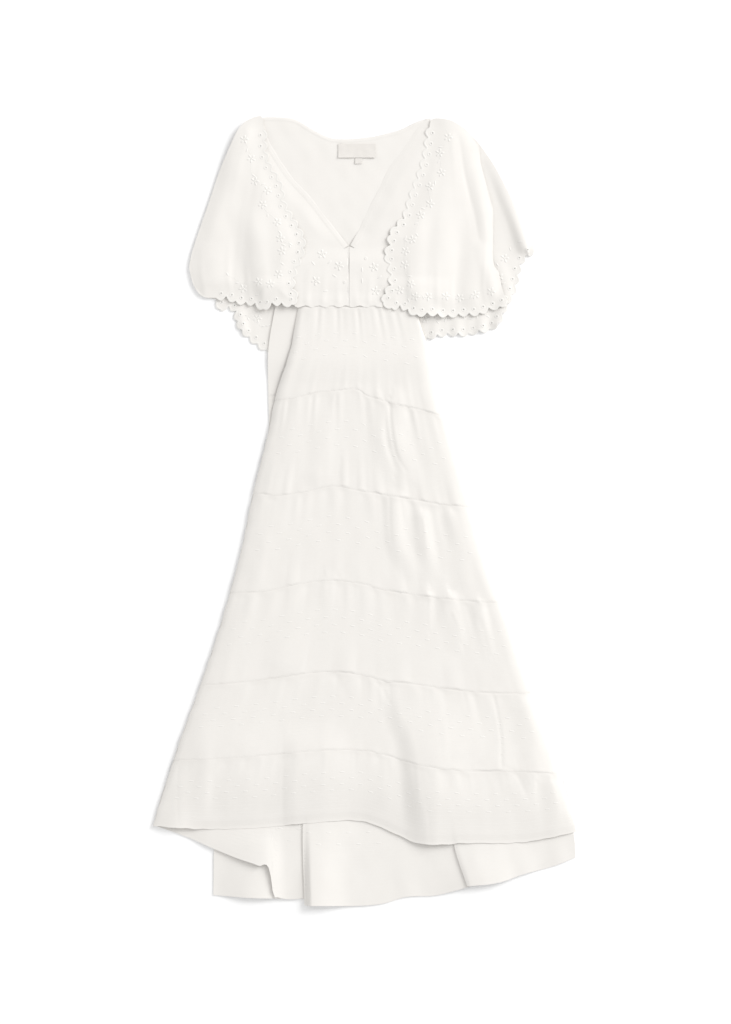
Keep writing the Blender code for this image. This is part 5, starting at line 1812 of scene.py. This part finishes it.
def bodice_trims(side):
    """The embroidered motifs of a bodice front."""
    trim = Trim()
    for motif in BODICE_MOTIFS[side]:
        place = [(motif.x, motif.y)]
        if motif.kind == "leaf":
            turn = np.array([motif.turn])
            trim.add_copies(*place_on(bodice_front_top, LEAF, place, turn, MOTIF_LEAF_SIZE))
            continue
        trim.add_copies(*place_on(bodice_front_top, EYELET_RING, place, np.zeros(1), MOTIF_RING_SIZE))
        if motif.kind == "flower":
            turns = motif.turn + 2.0 * np.pi * np.arange(PETALS) / PETALS
            petals = [place_around(place[0], MOTIF_PETAL_REACH, turn) for turn in turns]
            trim.add_copies(*place_on(bodice_front_top, PETAL, petals, turns, MOTIF_PETAL_SIZE))
    return [trim.finish(f"bodice_front_{side}_embroidery", THREAD)]


# A label: its place, its size and how far its foot curls up
Label = namedtuple("Label", "node centre size curl")
LABELS = (
    Label("size_tab", TAB_CENTRE, TAB_SIZE, 0.4),
    Label("neck_label", LABEL_CENTRE, LABEL_SIZE, 1.2),
)


def label_top(label, x, y):
    """The upper side of a label, which curls up towards its foot."""
    across = (x - label.centre[0]) / label.size[0] + 0.5
    down = np.clip(0.5 - (y - label.centre[1]) / label.size[1], 0.0, 1.0)
    curled = label.curl * down**3 * (0.7 + 0.3 * np.cos(2.0 * np.pi * across))
    return BODY_BACK_UNDER + CLOTH + SEAM_GAP + LABEL_LIFT + curled


def add_label(label):
    """A blank label, stitched at its two ends to the inside of the bodice back."""
    s = even_shares(label.size[0], LABEL_CELL)
    v = even_shares(label.size[1], LABEL_CELL)
    x, y = np.broadcast_arrays(
        label.centre[0] + (s[None, :] - 0.5) * label.size[0],
        label.centre[1] + (0.5 - v[:, None]) * label.size[1],
    )
    top = label_top(label, x, y) + rippled(LABEL_RIPPLE, x, y, LABEL_SEED)
    faces = grid_faces(len(v), len(s))
    piece = add_shell(f"{label.node}_cloth", x, y, top, top - LABEL_SHELL, faces, LABEL_SATIN)
    trim = Trim()
    count = int(label.size[1] / LABEL_STITCH_PITCH)
    py = label.centre[1] + (np.arange(count) - 0.5 * (count - 1)) * LABEL_STITCH_STEP
    surface = surface_of(label_top, label)
    upright = np.full(count, LABEL_STITCH_TURN)
    for side in (-1, 1):
        px = np.full(count, label.centre[0] + side * (0.5 * label.size[0] - LABEL_STITCH_INSET))
        places = np.stack((px, py), 1)
        trim.add_copies(*place_on(surface, STITCH, places, upright, LABEL_STITCH_SIZE))
    stitched = trim.finish(f"{label.node}_stitches", THREAD)
    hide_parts(label.node)


def add_floor():
    """A plain pale floor."""
    mesh = bpy.data.meshes.new("floor")
    half = FLOOR_HALF
    below = -FLOOR_GAP
    corners = [(-half, -half, below), (half, -half, below), (half, half, below), (-half, half, below)]
    mesh.from_pydata(corners, [], [(0, 1, 2, 3)])
    floor = link_object("floor", mesh)
    material, nodes, _ = new_nodes("floor_white")
    shader = nodes["Principled BSDF"]
    shader.inputs["Base Color"].default_value = (0.98, 0.98, 0.98, 1.0)
    shader.inputs["Roughness"].default_value = 0.9
    shader.inputs["Specular IOR Level"].default_value = 0.1
    mesh.materials.append(material)


def add_lights():
    """An even white surround and a broad soft light from the upper right."""
    world = bpy.data.worlds.new("studio")
    world.use_nodes = True
    background = world.node_tree.nodes["Background"]
    background.inputs["Color"].default_value = (1.0, 1.0, 1.0, 1.0)
    background.inputs["Strength"].default_value = SURROUND_STRENGTH
    bpy.context.scene.world = world
    light = bpy.data.lights.new("key", "AREA")
    light.shape = "DISK"
    light.size = LIGHT_SIZE
    light.energy = LIGHT_ENERGY
    lamp = link_object("key", light)
    direction = Vector(LIGHT_DIRECTION).normalized()
    lamp.location = direction * LIGHT_DISTANCE
    lamp.rotation_euler = (-direction).to_track_quat("-Z", "Y").to_euler()


def add_camera():
    """A camera straight above, which sees the photograph's frame."""
    data = bpy.data.cameras.new("camera")
    data.lens = LENS
    data.sensor_width = SENSOR
    camera = link_object("camera", data)
    height = LENS / SENSOR * FRAME_LONG_SIDE
    camera.location = (*CAMERA_PLACE, height + FRAME_HEIGHT)
    bpy.context.scene.camera = camera


add_camera()
add_floor()
add_lights()
add_skirt_back()
add_back_hem()
add_capes()
add_bodice_back()
add_bodice_fronts()
for each in LABELS:
    add_label(each)
add_skirt_front()
bpy.context.scene.view_settings.view_transform = "Standard"
